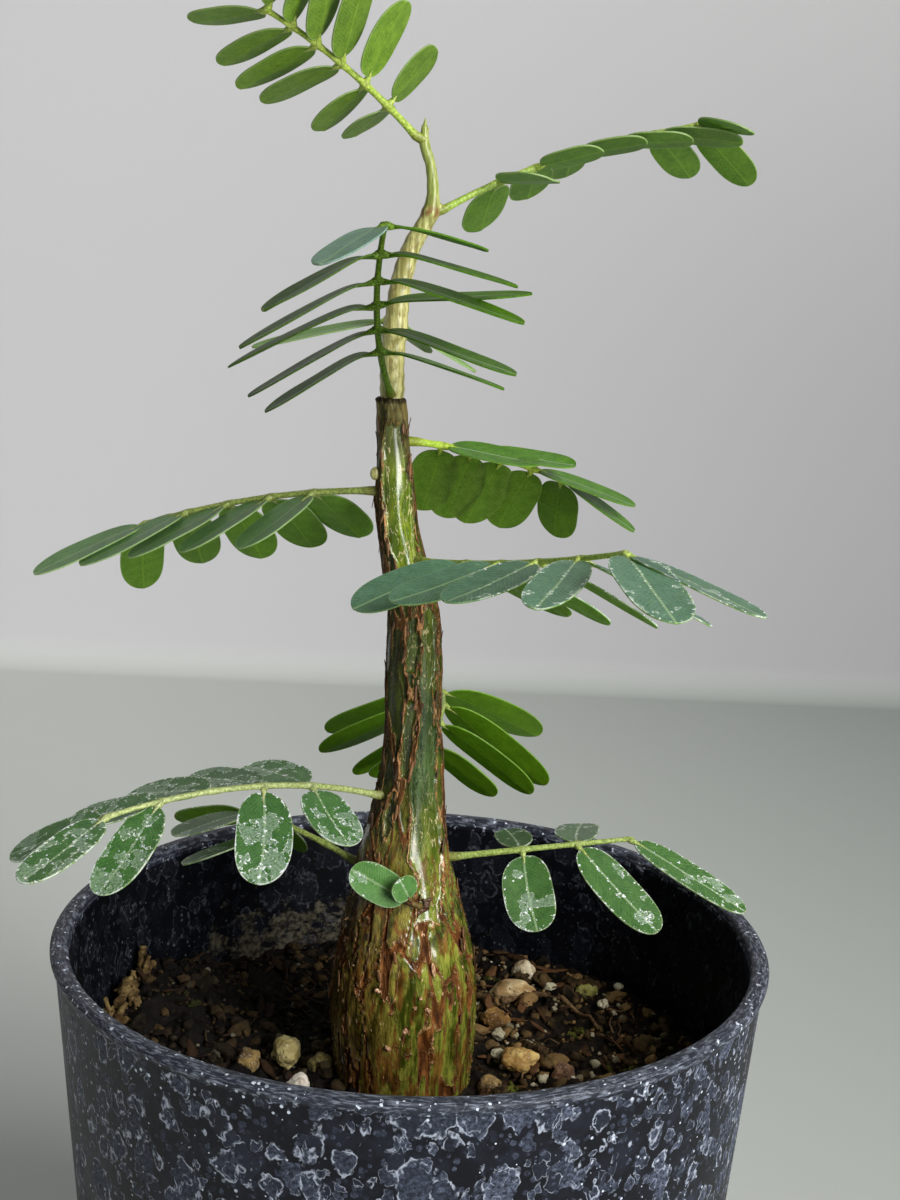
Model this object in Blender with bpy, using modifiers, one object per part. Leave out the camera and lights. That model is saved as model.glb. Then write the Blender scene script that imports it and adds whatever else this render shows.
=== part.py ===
"""A young potted senna: a swollen stem with feather-like leaves, in a small round plastic pot.

Metres, +Z up. The origin is the middle of the pot's base, on the surface that the pot stands on.
Seen from the front (looking along +Y), +X is to the right.
"""

import math
import random

import bmesh
import bpy
from mathutils import Matrix, Vector, noise

MM = 0.001
CLEARANCE = 0.3 * MM      # gap between pieces that touch each other
SEED = 7

# Pot
POT_HEIGHT = 84 * MM
RIM_RADIUS = 47.5 * MM
LIP_WIDTH = 2.4 * MM
LIP_HEIGHT = 2.6 * MM
LIP_PROUD = 0.5 * MM      # how far the lip stands out from the wall below it
WALL = 1.8 * MM
TAPER = 0.08              # radius that the pot loses for each unit of depth
FOOT_WIDTH = 3.2 * MM
FOOT_HEIGHT = 1.6 * MM
FLOOR = 1.8 * MM
PAD_RADIUS = 12 * MM      # flat pad in the middle of the base
DRAIN_COUNT = 6
DRAIN_RADIUS = 3 * MM
DRAIN_CIRCLE = 25 * MM
POT_STEPS = 48

# Soil
SOIL_DEPTH = 21 * MM      # below the rim
SOIL_RELIEF = 1.3 * MM
SOIL_RINGS = 8
SOIL_STEPS = 32
CRUMBS = 12
CRUMB_REACH = (14 * MM, 38 * MM)      # nearest to the stem and furthest from it
CRUMB_WIDTH = (1.8 * MM, 3.2 * MM)    # smallest and largest
LUMP_ROUGHNESS = 0.35
STONE_RISE = 0.22         # how far a stone's middle is above the soil, as a share of its height
HOLLOW_ROOM = 3.2 * CLEARANCE

# Stem: height above the rim, sideways place of the centre, and diameter, in millimetres
OLD_STEM = (
    (-58, -0.3, 2.4), (-45, -0.3, 8.0), (-30, -0.3, 14.5), (-23.6, -0.3, 17.8), (-17.7, -0.5, 19.0),
    (-10.3, -0.8, 19.8), (-4.5, -0.8, 18.9), (1.3, -0.9, 16.6), (7.0, -1.1, 13.7), (11.2, -1.4, 12.2),
    (15.4, -1.2, 10.6), (21.0, -0.9, 8.7), (26.5, -0.8, 7.9), (38.6, -1.2, 7.4), (43.9, -1.5, 6.8),
    (50.5, -2.9, 6.0), (55.6, -4.0, 5.5), (64.6, -4.8, 4.8), (71.2, -5.3, 4.2),
)
NEW_SHOOT = (
    (68.5, -5.2, 2.6), (72.1, -5.2, 3.1), (75.9, -5.3, 3.0), (80.8, -5.0, 2.9), (84.5, -4.7, 2.7),
    (87.6, -4.1, 2.5), (90.1, -3.3, 2.3), (92.5, -2.0, 2.1), (94.4, -1.2, 1.8), (96.8, -1.1, 1.5),
    (99.7, -1.5, 1.3), (102.1, -2.3, 1.3), (104.4, -2.4, 0.7),
)
STEM_SIDES = 28
STEM_RING_STEP = 3.0 * MM
SHOOT_SIDES = 10
SHOOT_RING_STEP = 1.9 * MM
FISSURE_DEPTH = 0.75 * MM
# Buds and knots: height above the rim, bearing and width, in millimetres and degrees
BUDS = ((61.6, 180, 1.5), (94.6, 20, 1.2), (70.6, 180, 1.3))

# Leaves
BLADE_THICKNESS = 0.6 * MM
BLADE_SEGMENTS = 12
STALK_LENGTH = 1.0 * MM
STALK_WIDTH = 0.8 * MM
RACHIS_RADIUS = (0.62 * MM, 0.42 * MM)    # at the root and at the tip
RACHIS_POINTS = 9
SOCKET_DEPTH = 0.6 * MM
LEAFLET_WIDTH = (6.6, 6.0, 5.5)           # first, middle and last pair

# Each leaf, in millimetres and degrees. "height" is above the rim and "bearing" is the side of the
# stem that it grows from: 0 is +X (right), 90 is +Y (back). "azimuth" and "rise" are its heading at
# the root and at the tip. "bare" is the share of its length with no leaflets. The other values are
# for the first, middle and last pair: "yaw" is the angle from the leaf's own direction, "droop" how
# far the leaflet hangs, and "twist" how far it is turned about its own rib. "turned" gives single
# leaflets some more yaw and droop. Left is the side to the left of somebody looking along the leaf.
LEAVES = {
    "leaf_top": {
        "height": 102.6, "bearing": 180, "azimuth": (215, 227), "rise": (40, 19), "length": 26.5,
        "bare": 0.23, "pairs": 6, "roll": 45, "leaflet": (9, 12.5, 12), "width": (6.6, 5.8, 5.7),
        "left": {"yaw": (91, 54, 70), "droop": (-29, 2, 7), "twist": (40, 36)},
        "right": {"yaw": (111, 92, 87), "droop": (-29, -18, -39), "twist": (42, 12)},
        "turned": {("right", 1): (8, 0), ("right", 2): (-8, 0), ("right", 4): (8, 0)},
    },
    "leaf_right_high": {
        "height": 94.1, "bearing": 10, "azimuth": (33, 3), "rise": (27, 12), "length": 36.3,
        "bare": 0.25, "pairs": 6, "roll": 2, "leaflet": (9.4, 9.7, 12.8), "width": (6.6, 5.2, 5.3),
        "left": {"yaw": (98, 79, 40), "droop": (42, 25, 44), "twist": (4, -14)},
        "right": {"yaw": (71, 25, 55), "droop": (2, 5, 9), "twist": (32, 28)},
        "turned": {("left", 1): (-10, 0), ("left", 4): (-6, 6), ("right", 1): (0, -5), ("right", 3): (0, 5),
                   ("right", 4): (-16, 9)},
        "missing": (("left", 3),), "size": {("left", 2): (0.8, 0.9), ("right", 5): (0.72, 1)},
    },
    "leaf_front_high": {
        "height": 71.7, "bearing": -95, "azimuth": (-99, -81), "rise": (32, 36), "length": 38,
        "bare": 0.305, "pairs": 6, "roll": 15, "leaflet": (15.5, 17.5, 12.5), "width": (6.4, 6, 5.4),
        "left": {"yaw": (104, 83, 112), "droop": (24, 36, 12), "twist": (35, 41)},
        "right": {"yaw": (99, 102, 61), "droop": (15, 11, 31), "twist": (38, 33)},
        "turned": {("left", 2): (-2, -24), ("right", 2): (2, -6)}, "size": {("right", 2): (1.05, 1)},
    },
    "leaf_left_mid": {
        "height": 59.3, "bearing": 185, "azimuth": (160, 172), "rise": (-5, -20), "length": 32,
        "bare": 0.26, "pairs": 5, "roll": -11, "leaflet": (13.4, 15, 16.2), "width": (7.2, 6.6, 6),
        "left": {"yaw": (61, 37, 34), "droop": (13, 8, -1), "twist": (8, -5)},
        "right": {"yaw": (99, 80, 50), "droop": (46, 49, 44), "twist": (5, -20)},
        "turned": {("right", 3): (0, -5)},
    },
    "leaf_right_mid": {
        "height": 65.7, "bearing": 20, "azimuth": (12, 8), "rise": (-6, -20), "length": 20.4,
        "bare": 0.2, "pairs": 5, "roll": 1, "leaflet": (12.8, 13.4, 12.2), "width": (6.4, 6.6, 5.9),
        "left": {"yaw": (86, 93, 62), "droop": (51, 51, 42), "twist": (0, 0)},
        "right": {"yaw": (22, 16, 20), "droop": (-2, -7, 12), "twist": (-12, -6)},
        "turned": {("left", 1): (-6, -1), ("left", 3): (5, 1)},
        "missing": (("right", 2),), "size": {("right", 3): (1.08, 1), ("right", 4): (0.95, 0.9)},
    },
    "leaf_front_right": {
        "height": 50.8, "bearing": -40, "azimuth": (-61, -56), "rise": (9, 15.5), "length": 43.4,
        "bare": 0.27, "pairs": 5, "roll": -3, "leaflet": (16, 15.5, 18),
        "left": {"yaw": (89, 59, 19), "droop": (25, 31, 26), "twist": (-6, 0)},
        "right": {"yaw": (92, 77, 22), "droop": (19, 16, 26), "twist": (28, 5)},
        "size": {("right", 4): (1, 1.25)},
    },
    "leaf_left_low": {
        "height": 19.5, "bearing": 215, "azimuth": (217, 206), "rise": (21, -13), "length": 38,
        "bare": 0.29, "pairs": 5, "roll": -2, "leaflet": (11, 13.8, 13.9), "width": (7, 6.7, 6.2),
        "left": {"yaw": (95, 45, 25), "droop": (23, 39, 7), "twist": (6, -6)},
        "right": {"yaw": (70, 59, 32), "droop": (5, 15, 17), "twist": (14, 8)},
        "missing": (("left", 2),), "size": {("left", 1): (1.12, 1.02)},
    },
    "leaf_right_low": {
        "height": 10.9, "bearing": -10, "azimuth": (0, 9), "rise": (9, 5), "length": 24,
        "bare": 0.4, "pairs": 3, "roll": 11, "leaflet": (11.2, 16, 17.8),
        "left": {"yaw": (97, 77, 45), "droop": (17, 22, 20), "twist": (0, 0)},
        "right": {"yaw": (86, 53, 36), "droop": (35, 27, 22), "twist": (-8, -2)},
        "missing": (("left", 2),),
        "size": {("left", 0): (1, 0.7), ("right", 0): (1.03, 1), ("right", 2): (1, 0.88)},
    },
    "leaf_back": {
        "height": 21.0, "bearing": 88, "azimuth": (70, 96), "rise": (18, -4), "length": 28,
        "bare": 0.23, "pairs": 4, "roll": 0, "leaflet": (12.6, 18.4, 19.8), "width": (6.6, 6.6, 8),
        "left": {"yaw": (68, 74, 66), "droop": (42, 38, 24), "twist": (24, 32)},
        "right": {"yaw": (70, 71, 63), "droop": (45, 44, 25), "twist": (45, 30)},
        "turned": {("left", 2): (0, -6), ("right", 1): (0, -5)},
        "size": {("left", 2): (1.1, 1.1), ("right", 1): (1.08, 1), ("right", 2): (1.12, 1.1)},
    },
    "leaf_left_back": {
        "height": 8.8, "bearing": 172, "azimuth": (161, 175), "rise": (25, 14), "length": 16,
        "bare": 0.31, "pairs": 3, "roll": 19, "leaflet": (11, 16, 13.6),
        "left": {"yaw": (59, 42, 54), "droop": (33, 35, 23), "twist": (24, 6)},
        "right": {"yaw": (70, 40, 38), "droop": (30, 5, 19), "twist": (-23, -18)},
        "turned": {("right", 1): (45, 8)}, "missing": (("left", 0), ("right", 0)),
    },
    "leaf_young": {
        "height": 79.7, "bearing": 100, "azimuth": (109, 94), "rise": (14, 0), "length": 6.2,
        "bare": 0.3, "pairs": 3, "roll": 5, "leaflet": (7.8, 13, 9), "width": (5, 4.4, 4),
        "left": {"yaw": (82, 90, 35), "droop": (28, 18, 10), "twist": (4, -9)},
        "right": {"yaw": (63, 107, 35), "droop": (29, 21, 20), "twist": (2, 12)},
        "missing": (("left", 0), ("left", 2)),
        "size": {("left", 1): (1.35, 1), ("right", 1): (1, 1.15), ("right", 2): (0.9, 0.7)},
    },
    "leaf_sprout": {
        "height": 6.0, "bearing": -72, "azimuth": (-155, -155), "rise": (27, 27), "length": 1.5,
        "bare": 1, "pairs": 1, "roll": -74, "leaflet": 9.1, "width": 4.8,
        "left": {"yaw": -10, "droop": 18, "twist": -20},
        "right": {"yaw": 29, "droop": -20, "twist": 12},
        "size": {("right", 0): (0.52, 0.76)},
    },
}

# Stones on the soil: place to the right and to the back, then width, depth and height, in millimetres
STONES = (
    (17.2, 33.6, 4.0, 3.6, 3.4), (15.3, 25.2, 7.5, 4.4, 3.9), (12.6, 16.1, 4.1, 3.6, 3.2),
    (15.8, 3.1, 5.0, 4.6, 4.4), (26.5, 27.3, 2.9, 2.8, 2.7), (-16.7, 1.6, 4.2, 5.4, 4.6),
    (-14.2, -6.0, 3.5, 3.0, 2.7), (-11.6, -1.5, 3.3, 3.6, 3.4), (-21.6, 0.6, 3.6, 3.8, 3.8),
    (11.3, -3.2, 3.6, 3.4, 3.2), (21.4, 0.2, 3.3, 3.3, 3.0), (-4.5, -17.0, 4.2, 3.6, 3.2),
)

COLOURS = {
    "pot": ((0.016, 0.019, 0.028), 0.42),
    "soil": ((0.035, 0.024, 0.015), 0.95),
    "stem": ((0.13, 0.11, 0.035), 0.6),
    "leaf": ((0.07, 0.17, 0.045), 0.45),
    "stone": ((0.48, 0.38, 0.2), 0.9),
}


def clear_scene():
    for old in list(bpy.data.objects):
        bpy.data.objects.remove(old, do_unlink=True)
    for old in list(bpy.data.collections):
        bpy.data.collections.remove(old)


def make_collections():
    parts = bpy.data.collections.new("potted_senna")
    cutters = bpy.data.collections.new("cutters")
    for group in (parts, cutters):
        bpy.context.scene.collection.children.link(group)
    return parts, cutters


def make_material(name):
    colour, roughness = COLOURS[name]
    material = bpy.data.materials.new(name)
    material.use_nodes = True
    shader = material.node_tree.nodes["Principled BSDF"]
    shader.inputs["Base Color"].default_value = (*colour, 1)
    shader.inputs["Roughness"].default_value = roughness
    shader.inputs["Metallic"].default_value = 0
    return material


def add_mesh_object(name, mesh, collection):
    thing = bpy.data.objects.new(name, mesh)
    collection.objects.link(thing)
    return thing


def mesh_from(bm, name):
    mesh = bpy.data.meshes.new(name)
    bm.to_mesh(mesh)
    bm.free()
    return mesh


def as_cutter(thing):
    thing.hide_render = True
    thing.display_type = "WIRE"
    return thing


def apply_modifiers(thing):
    """Give the object its evaluated mesh and take its modifiers off."""
    bpy.context.view_layer.update()
    depsgraph = bpy.context.evaluated_depsgraph_get()
    mesh = bpy.data.meshes.new_from_object(thing.evaluated_get(depsgraph))
    thing.modifiers.clear()
    thing.data = mesh
    return thing


def boolean(thing, operation, operand):
    """Join or cut with one object or with all the objects of a collection, and apply it."""
    modifier = thing.modifiers.new(operation.title(), "BOOLEAN")
    modifier.operation = operation
    if isinstance(operand, bpy.types.Collection):
        modifier.operand_type = "COLLECTION"
        modifier.collection = operand
    else:
        modifier.object = operand
    return apply_modifiers(thing)


def empty_collection(collection):
    for thing in list(collection.objects):
        bpy.data.objects.remove(thing, do_unlink=True)


def turned(name, profile, steps, collection):
    """A solid of revolution about Z. The profile starts and ends on the axis."""
    bm = bmesh.new()
    points = [bm.verts.new((radius, 0, height)) for radius, height in profile]
    for first, second in zip(points, points[1:]):
        bm.edges.new((first, second))
    thing = add_mesh_object(name, mesh_from(bm, name), collection)
    screw = thing.modifiers.new("Turn", "SCREW")
    screw.steps = steps
    screw.render_steps = steps
    screw.use_merge_vertices = True
    screw.merge_threshold = 0.00001
    return apply_modifiers(thing)


def shade(thing, angle=35):
    thing.data.shade_smooth()
    thing.data.set_sharp_from_angle(angle=math.radians(angle))


def blend(values, t):
    """A single value, a straight change between two, or a smooth change through three."""
    if not isinstance(values, tuple):
        return values
    if len(values) == 2:
        return values[0] + (values[1] - values[0]) * t
    first, middle, last = values
    return first * (1 - t) * (1 - 2 * t) + 4 * middle * t * (1 - t) + last * t * (2 * t - 1)


def stem_at(table, height):
    """Centre and radius of the stem at a height above the rim, in metres."""
    rows = [tuple(value * MM for value in row) for row in table]
    height = min(max(height, rows[0][0]), rows[-1][0])
    below = max(i for i, row in enumerate(rows[:-1]) if row[0] <= height)
    before = rows[max(below - 1, 0)]
    start, end = rows[below], rows[below + 1]
    after = rows[min(below + 2, len(rows) - 1)]
    span = end[0] - start[0]
    t = (height - start[0]) / span
    result = []
    for k in (1, 2):
        slope_in = (end[k] - before[k]) / (end[0] - before[0]) * span
        slope_out = (after[k] - start[k]) / (after[0] - start[0]) * span
        result.append((2 * t ** 3 - 3 * t ** 2 + 1) * start[k] + (t ** 3 - 2 * t ** 2 + t) * slope_in
                      + (3 * t ** 2 - 2 * t ** 3) * end[k] + (t ** 3 - t ** 2) * slope_out)
    return Vector((result[0], 0, POT_HEIGHT + height)), result[1] / 2


def stem_surface(height, bearing):
    table = OLD_STEM if height < OLD_STEM[-1][0] else NEW_SHOOT
    centre, radius = stem_at(table, height * MM)
    angle = math.radians(bearing)
    return centre + radius * Vector((math.cos(angle), math.sin(angle), 0))


def tube(name, points, radii, bevel_resolution, collection):
    """A closed tube through the points, made a mesh from a curve with filled caps."""
    widest = max(radii)
    curve = bpy.data.curves.new(name, "CURVE")
    curve.dimensions = "3D"
    curve.bevel_depth = widest
    curve.bevel_resolution = bevel_resolution
    curve.use_fill_caps = True
    spline = curve.splines.new("POLY")
    spline.points.add(len(points) - 1)
    for point, place, radius in zip(spline.points, points, radii):
        point.co = (*place, 1)
        point.radius = radius / widest
    guide = bpy.data.objects.new(name + "_curve", curve)
    collection.objects.link(guide)
    bpy.context.view_layer.update()
    depsgraph = bpy.context.evaluated_depsgraph_get()
    mesh = bpy.data.meshes.new_from_object(guide.evaluated_get(depsgraph))
    bm = bmesh.new()
    bm.from_mesh(mesh)
    bmesh.ops.remove_doubles(bm, verts=bm.verts, dist=0.00001)
    bmesh.ops.recalc_face_normals(bm, faces=bm.faces)
    bm.to_mesh(mesh)
    bm.free()
    thing = add_mesh_object(name, mesh, collection)
    thing.matrix_world = guide.matrix_world
    bpy.data.objects.remove(guide, do_unlink=True)
    return thing


def pot_inner_radius(height):
    return RIM_RADIUS - LIP_PROUD - WALL - TAPER * (POT_HEIGHT - height)


def build_pot(parts, cutters):
    outer_top = RIM_RADIUS - LIP_PROUD - TAPER * LIP_HEIGHT
    outer_foot = RIM_RADIUS - LIP_PROUD - TAPER * POT_HEIGHT
    floor_top = FOOT_HEIGHT + FLOOR
    lip_round = 0.8 * MM
    corner = 2 * MM
    lip_inner = RIM_RADIUS - LIP_WIDTH
    profile = (
        (0, floor_top),
        (pot_inner_radius(floor_top) - corner, floor_top),
        (pot_inner_radius(floor_top + corner), floor_top + corner),
        (pot_inner_radius(POT_HEIGHT - LIP_HEIGHT), POT_HEIGHT - LIP_HEIGHT),
        (lip_inner, POT_HEIGHT - lip_round),
        (lip_inner + lip_round * 0.7, POT_HEIGHT),
        (RIM_RADIUS - lip_round * 0.7, POT_HEIGHT),
        (RIM_RADIUS, POT_HEIGHT - lip_round),
        (RIM_RADIUS - TAPER * LIP_HEIGHT, POT_HEIGHT - LIP_HEIGHT + LIP_PROUD),
        (outer_top, POT_HEIGHT - LIP_HEIGHT),
        (outer_foot, 0),
        (outer_foot - FOOT_WIDTH, 0),
        (outer_foot - FOOT_WIDTH - 0.5 * MM, FOOT_HEIGHT),
        (PAD_RADIUS + 0.5 * MM, FOOT_HEIGHT),
        (PAD_RADIUS, 0),
        (0, 0),
    )
    pot = turned("pot", profile, POT_STEPS, parts)
    for i in range(DRAIN_COUNT):
        angle = math.tau * i / DRAIN_COUNT
        bpy.ops.mesh.primitive_cylinder_add(vertices=16, radius=DRAIN_RADIUS, depth=4 * floor_top)
        drill = as_cutter(bpy.context.object)
        drill.location = (DRAIN_CIRCLE * math.cos(angle), DRAIN_CIRCLE * math.sin(angle), floor_top)
        for group in list(drill.users_collection):
            group.objects.unlink(drill)
        cutters.objects.link(drill)
    boolean(pot, "DIFFERENCE", cutters)
    empty_collection(cutters)
    shade(pot)
    return pot


def soil_height(x, y):
    """The uneven top of the soil, flat where it meets the wall."""
    calm = max(0, min(1, (pot_inner_radius(POT_HEIGHT - SOIL_DEPTH) - math.hypot(x, y)) / (5 * MM)))
    waves = noise.noise(Vector((x, y, 0)) / (9 * MM)) + 0.6 * noise.noise(Vector((x, y, 1)) / (4 * MM))
    return POT_HEIGHT - SOIL_DEPTH + SOIL_RELIEF * waves * calm


def add_crumb(name, place, size, rng, collection, subdivisions=1):
    """A rough lump, wide, deep and high as its size says."""
    bm = bmesh.new()
    bmesh.ops.create_icosphere(bm, subdivisions=subdivisions, radius=0.5)
    shift = Vector((rng.random(), rng.random(), rng.random())) * 20
    for vert in bm.verts:
        vert.co *= 1 + LUMP_ROUGHNESS * noise.noise(vert.co * 2.4 + shift)
    spin = Matrix.Rotation(rng.uniform(0, math.tau), 4, "Z")
    bmesh.ops.transform(bm, matrix=Matrix.Diagonal((*size, 1)) @ spin, verts=bm.verts)
    bmesh.ops.translate(bm, vec=place, verts=bm.verts)
    return add_mesh_object(name, mesh_from(bm, name), collection)


def build_soil(parts, cutters):
    rng = random.Random(SEED)
    bottom = FOOT_HEIGHT + FLOOR + CLEARANCE
    corner = 2 * MM
    top = POT_HEIGHT - SOIL_DEPTH
    edge = pot_inner_radius(top) - CLEARANCE
    rings = [(edge * i / SOIL_RINGS, top) for i in range(SOIL_RINGS + 1)]
    profile = rings + [
        (pot_inner_radius(bottom + corner) - CLEARANCE, bottom + corner),
        (pot_inner_radius(bottom) - corner - CLEARANCE, bottom),
        (0, bottom),
    ]
    soil = turned("soil", profile, SOIL_STEPS, parts)
    for vert in soil.data.vertices:
        if vert.co.z > top - MM:
            vert.co.z = soil_height(vert.co.x, vert.co.y)
    for i in range(CRUMBS):
        angle = math.tau * (i + rng.random()) / CRUMBS
        reach = rng.uniform(*CRUMB_REACH)
        x, y = reach * math.cos(angle), reach * math.sin(angle)
        wide = rng.uniform(*CRUMB_WIDTH)
        crumb_size = (wide, wide * rng.uniform(0.7, 1.3), wide * 1.2)
        as_cutter(add_crumb("crumb", (x, y, soil_height(x, y)), crumb_size, rng, cutters))
    boolean(soil, "UNION", cutters)
    empty_collection(cutters)
    return soil


def stone_places():
    """Each stone's name, place, size and its own seed, part sunk in the soil."""
    for i, (x, y, wide, deep, high) in enumerate(STONES):
        size = Vector((wide, deep, high)) * MM
        place = Vector((x * MM, y * MM, soil_height(x * MM, y * MM) + STONE_RISE * size.z))
        yield "stone_%02d" % (i + 1), place, size, SEED + i


def build_stones(parts, cutters, soil):
    stones = []
    for name, place, size, seed in stone_places():
        stones.append(add_crumb(name, place, size, random.Random(seed), parts, subdivisions=2))
        shade(stones[-1], 180)
        room = size + Vector((1, 1, 1)) * HOLLOW_ROOM
        as_cutter(add_crumb("hollow", place, room, random.Random(seed), cutters, subdivisions=2))
    boolean(soil, "DIFFERENCE", cutters)
    empty_collection(cutters)
    return stones


def root_hole(soil, cutters):
    """The plain hole in the soil that the lower part of the stem stands in."""
    lowest = OLD_STEM[0][0] * MM
    highest = -SOIL_DEPTH + 4 * MM
    steps = 9
    profile = [(0, POT_HEIGHT + highest)]
    for i in range(steps):
        height = highest + (lowest - highest) * i / (steps - 1)
        radius = stem_at(OLD_STEM, height)[1]
        profile.append((radius + CLEARANCE * 1.2, POT_HEIGHT + height))
    profile.append((0, POT_HEIGHT + lowest - CLEARANCE))
    hole = as_cutter(turned("root_hole", profile, STEM_SIDES * 2, cutters))
    hole.location.x = OLD_STEM[0][1] * MM
    boolean(soil, "DIFFERENCE", hole)
    empty_collection(cutters)


def bark_relief(height, angle):
    """How deep the bark is cut at a height above the rim and an angle round the stem."""
    fade_low = max(0, min(1, (height + SOIL_DEPTH - 3 * MM) / (3 * MM)))
    fade_high = max(0.3, min(1, (60 * MM - height) / (25 * MM)))
    round_it = Vector((math.cos(angle), math.sin(angle), 0)) * 2.6
    fissures = abs(noise.noise(round_it + Vector((0, 0, height / (7 * MM)))))
    ribs = 0.5 + 0.5 * math.sin(7 * angle + 2 * math.sin(height / (9 * MM)))
    cut = 0.75 * (1 - min(1, fissures * 3.5)) + 0.35 * ribs
    return FISSURE_DEPTH * cut * fade_low * fade_high


def stem_tube(name, table, sides, ring_step, collection):
    lowest, highest = table[0][0] * MM, table[-1][0] * MM
    rings = max(2, round((highest - lowest) / ring_step))
    places, radii = [], []
    for i in range(rings + 1):
        place, radius = stem_at(table, lowest + (highest - lowest) * i / rings)
        places.append(place)
        radii.append(radius)
    return tube(name, places, radii, (sides - 4) // 2, collection)


def build_stem(parts, cutters):
    stem = stem_tube("stem", OLD_STEM, STEM_SIDES, STEM_RING_STEP, parts)
    top = OLD_STEM[-1][0] * MM
    for vert in stem.data.vertices:
        height = vert.co.z - POT_HEIGHT
        centre = stem_at(OLD_STEM, height)[0]
        out = Vector((vert.co.x - centre.x, vert.co.y, 0))
        if out.length > 0.2 * MM and height < top:
            cut = bark_relief(height, math.atan2(out.y, out.x))
            vert.co -= out.normalized() * min(cut, 0.3 * out.length)
    as_cutter(stem_tube("shoot", NEW_SHOOT, SHOOT_SIDES, SHOOT_RING_STEP, cutters))
    for height, bearing, size in BUDS:
        bud = add_crumb("bud", stem_surface(height, bearing), Vector((size, size, size * 1.8)) * MM,
                        random.Random(SEED), cutters)
        as_cutter(bud)
    boolean(stem, "UNION", cutters)
    empty_collection(cutters)
    return stem


def leaf_direction(leaf, share):
    """The leaf's direction, its left and its upper side at a share of its length."""
    azimuth = math.radians(blend(leaf["azimuth"], share))
    rise = math.radians(blend(leaf["rise"], share))
    ahead = Vector((math.cos(azimuth) * math.cos(rise), math.sin(azimuth) * math.cos(rise), math.sin(rise)))
    left = Vector((-math.sin(azimuth), math.cos(azimuth), 0))
    turn = Matrix.Rotation(math.radians(leaf["roll"]), 3, ahead)
    return ahead, turn @ left, turn @ ahead.cross(left)


def leaf_path(leaf, steps=24):
    """Points along the leaf's rib, from the stem's surface to its tip."""
    points = [stem_surface(leaf["height"], leaf["bearing"])]
    for i in range(steps):
        ahead = leaf_direction(leaf, (i + 0.5) / steps)[0]
        points.append(points[-1] + ahead * leaf["length"] * MM / steps)
    return points


def point_along(points, share):
    place = share * (len(points) - 1)
    before = min(int(place), len(points) - 2)
    return points[before].lerp(points[before + 1], place - before)


def leaflet_places(leaf):
    """Each leaflet's matrix (X along its rib, Z out of its upper face), length and width."""
    points = leaf_path(leaf)
    pairs = leaf["pairs"]
    for i in range(pairs):
        t = i / (pairs - 1) if pairs > 1 else 0
        share = leaf["bare"] + (1 - leaf["bare"]) * t
        ahead, left, up = leaf_direction(leaf, share)
        for side, sign in (("left", 1), ("right", -1)):
            if (side, i) in leaf.get("missing", ()):
                continue
            angles = leaf[side]
            more_yaw, more_droop = leaf.get("turned", {}).get((side, i), (0, 0))
            yaw = math.radians(blend(angles["yaw"], t) + more_yaw)
            droop = math.radians(blend(angles["droop"], t) + more_droop)
            twist = math.radians(blend(angles["twist"], t))
            flat = ahead * math.cos(yaw) + left * sign * math.sin(yaw)
            hinge = flat.cross(up)
            along = Matrix.Rotation(-droop, 3, hinge) @ flat
            normal = Matrix.Rotation(-droop, 3, hinge) @ up
            normal = Matrix.Rotation(twist * sign, 3, along) @ normal
            across = normal.cross(along)
            turn = Matrix((along, across, normal)).transposed().to_4x4()
            longer, wider = leaf.get("size", {}).get((side, i), (1, 1))
            length = blend(leaf["leaflet"], t) * longer * MM
            width = blend(leaf.get("width", LEAFLET_WIDTH), t) * wider * MM
            yield Matrix.Translation(point_along(points, share)) @ turn, length, width


def add_leaflet(length, width, matrix, collection):
    """A thin oblong blade with a narrow stalk, its root on the leaf's own rib."""
    bm = bmesh.new()
    bmesh.ops.create_circle(bm, cap_ends=True, segments=BLADE_SEGMENTS, radius=1)
    half_step = Matrix.Rotation(math.pi / BLADE_SEGMENTS, 3, "Z")
    bmesh.ops.transform(bm, matrix=half_step.to_4x4(), verts=bm.verts)
    blade = length - STALK_LENGTH
    for vert in bm.verts:
        x, y = vert.co.x, vert.co.y
        if x < -0.9:
            vert.co.x = -0.3 * MM
            vert.co.y = math.copysign(STALK_WIDTH / 2, y)
        elif x < -0.6:
            vert.co.x = STALK_LENGTH + 0.03 * blade
            vert.co.y = math.copysign(0.22 * width, y)
        else:
            vert.co.x = STALK_LENGTH + blade * (0.5 + 0.5 * x / math.cos(math.pi / BLADE_SEGMENTS))
            vert.co.y = 0.5 * width * math.copysign(abs(y) ** 0.8, y)
    faces = list(bm.faces)
    raised = bmesh.ops.extrude_face_region(bm, geom=faces)
    top = [item for item in raised["geom"] if isinstance(item, bmesh.types.BMVert)]
    bmesh.ops.translate(bm, vec=(0, 0, BLADE_THICKNESS / 2), verts=top)
    low = [vert for vert in bm.verts if vert not in top]
    bmesh.ops.translate(bm, vec=(0, 0, -BLADE_THICKNESS / 2), verts=low)
    bmesh.ops.recalc_face_normals(bm, faces=bm.faces)
    bmesh.ops.transform(bm, matrix=matrix, verts=bm.verts)
    return add_mesh_object("leaflet", mesh_from(bm, "leaflet"), collection)


def build_leaf(name, leaf, parts, cutters):
    path = leaf_path(leaf)
    sunk = path[0] - leaf_direction(leaf, 0)[0] * SOCKET_DEPTH
    places = [sunk]
    radii = [RACHIS_RADIUS[0] * 1.15]
    count = min(RACHIS_POINTS, max(3, round(leaf["length"] / 3)))
    for i in range(1, count + 1):
        share = i / count
        places.append(point_along(path, share))
        radii.append(blend(RACHIS_RADIUS, share))
    rib = tube(name, places, radii, 1, parts)
    for matrix, length, width in leaflet_places(leaf):
        as_cutter(add_leaflet(length, width, matrix, cutters))
    boolean(rib, "UNION", cutters)
    empty_collection(cutters)
    return rib


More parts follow.
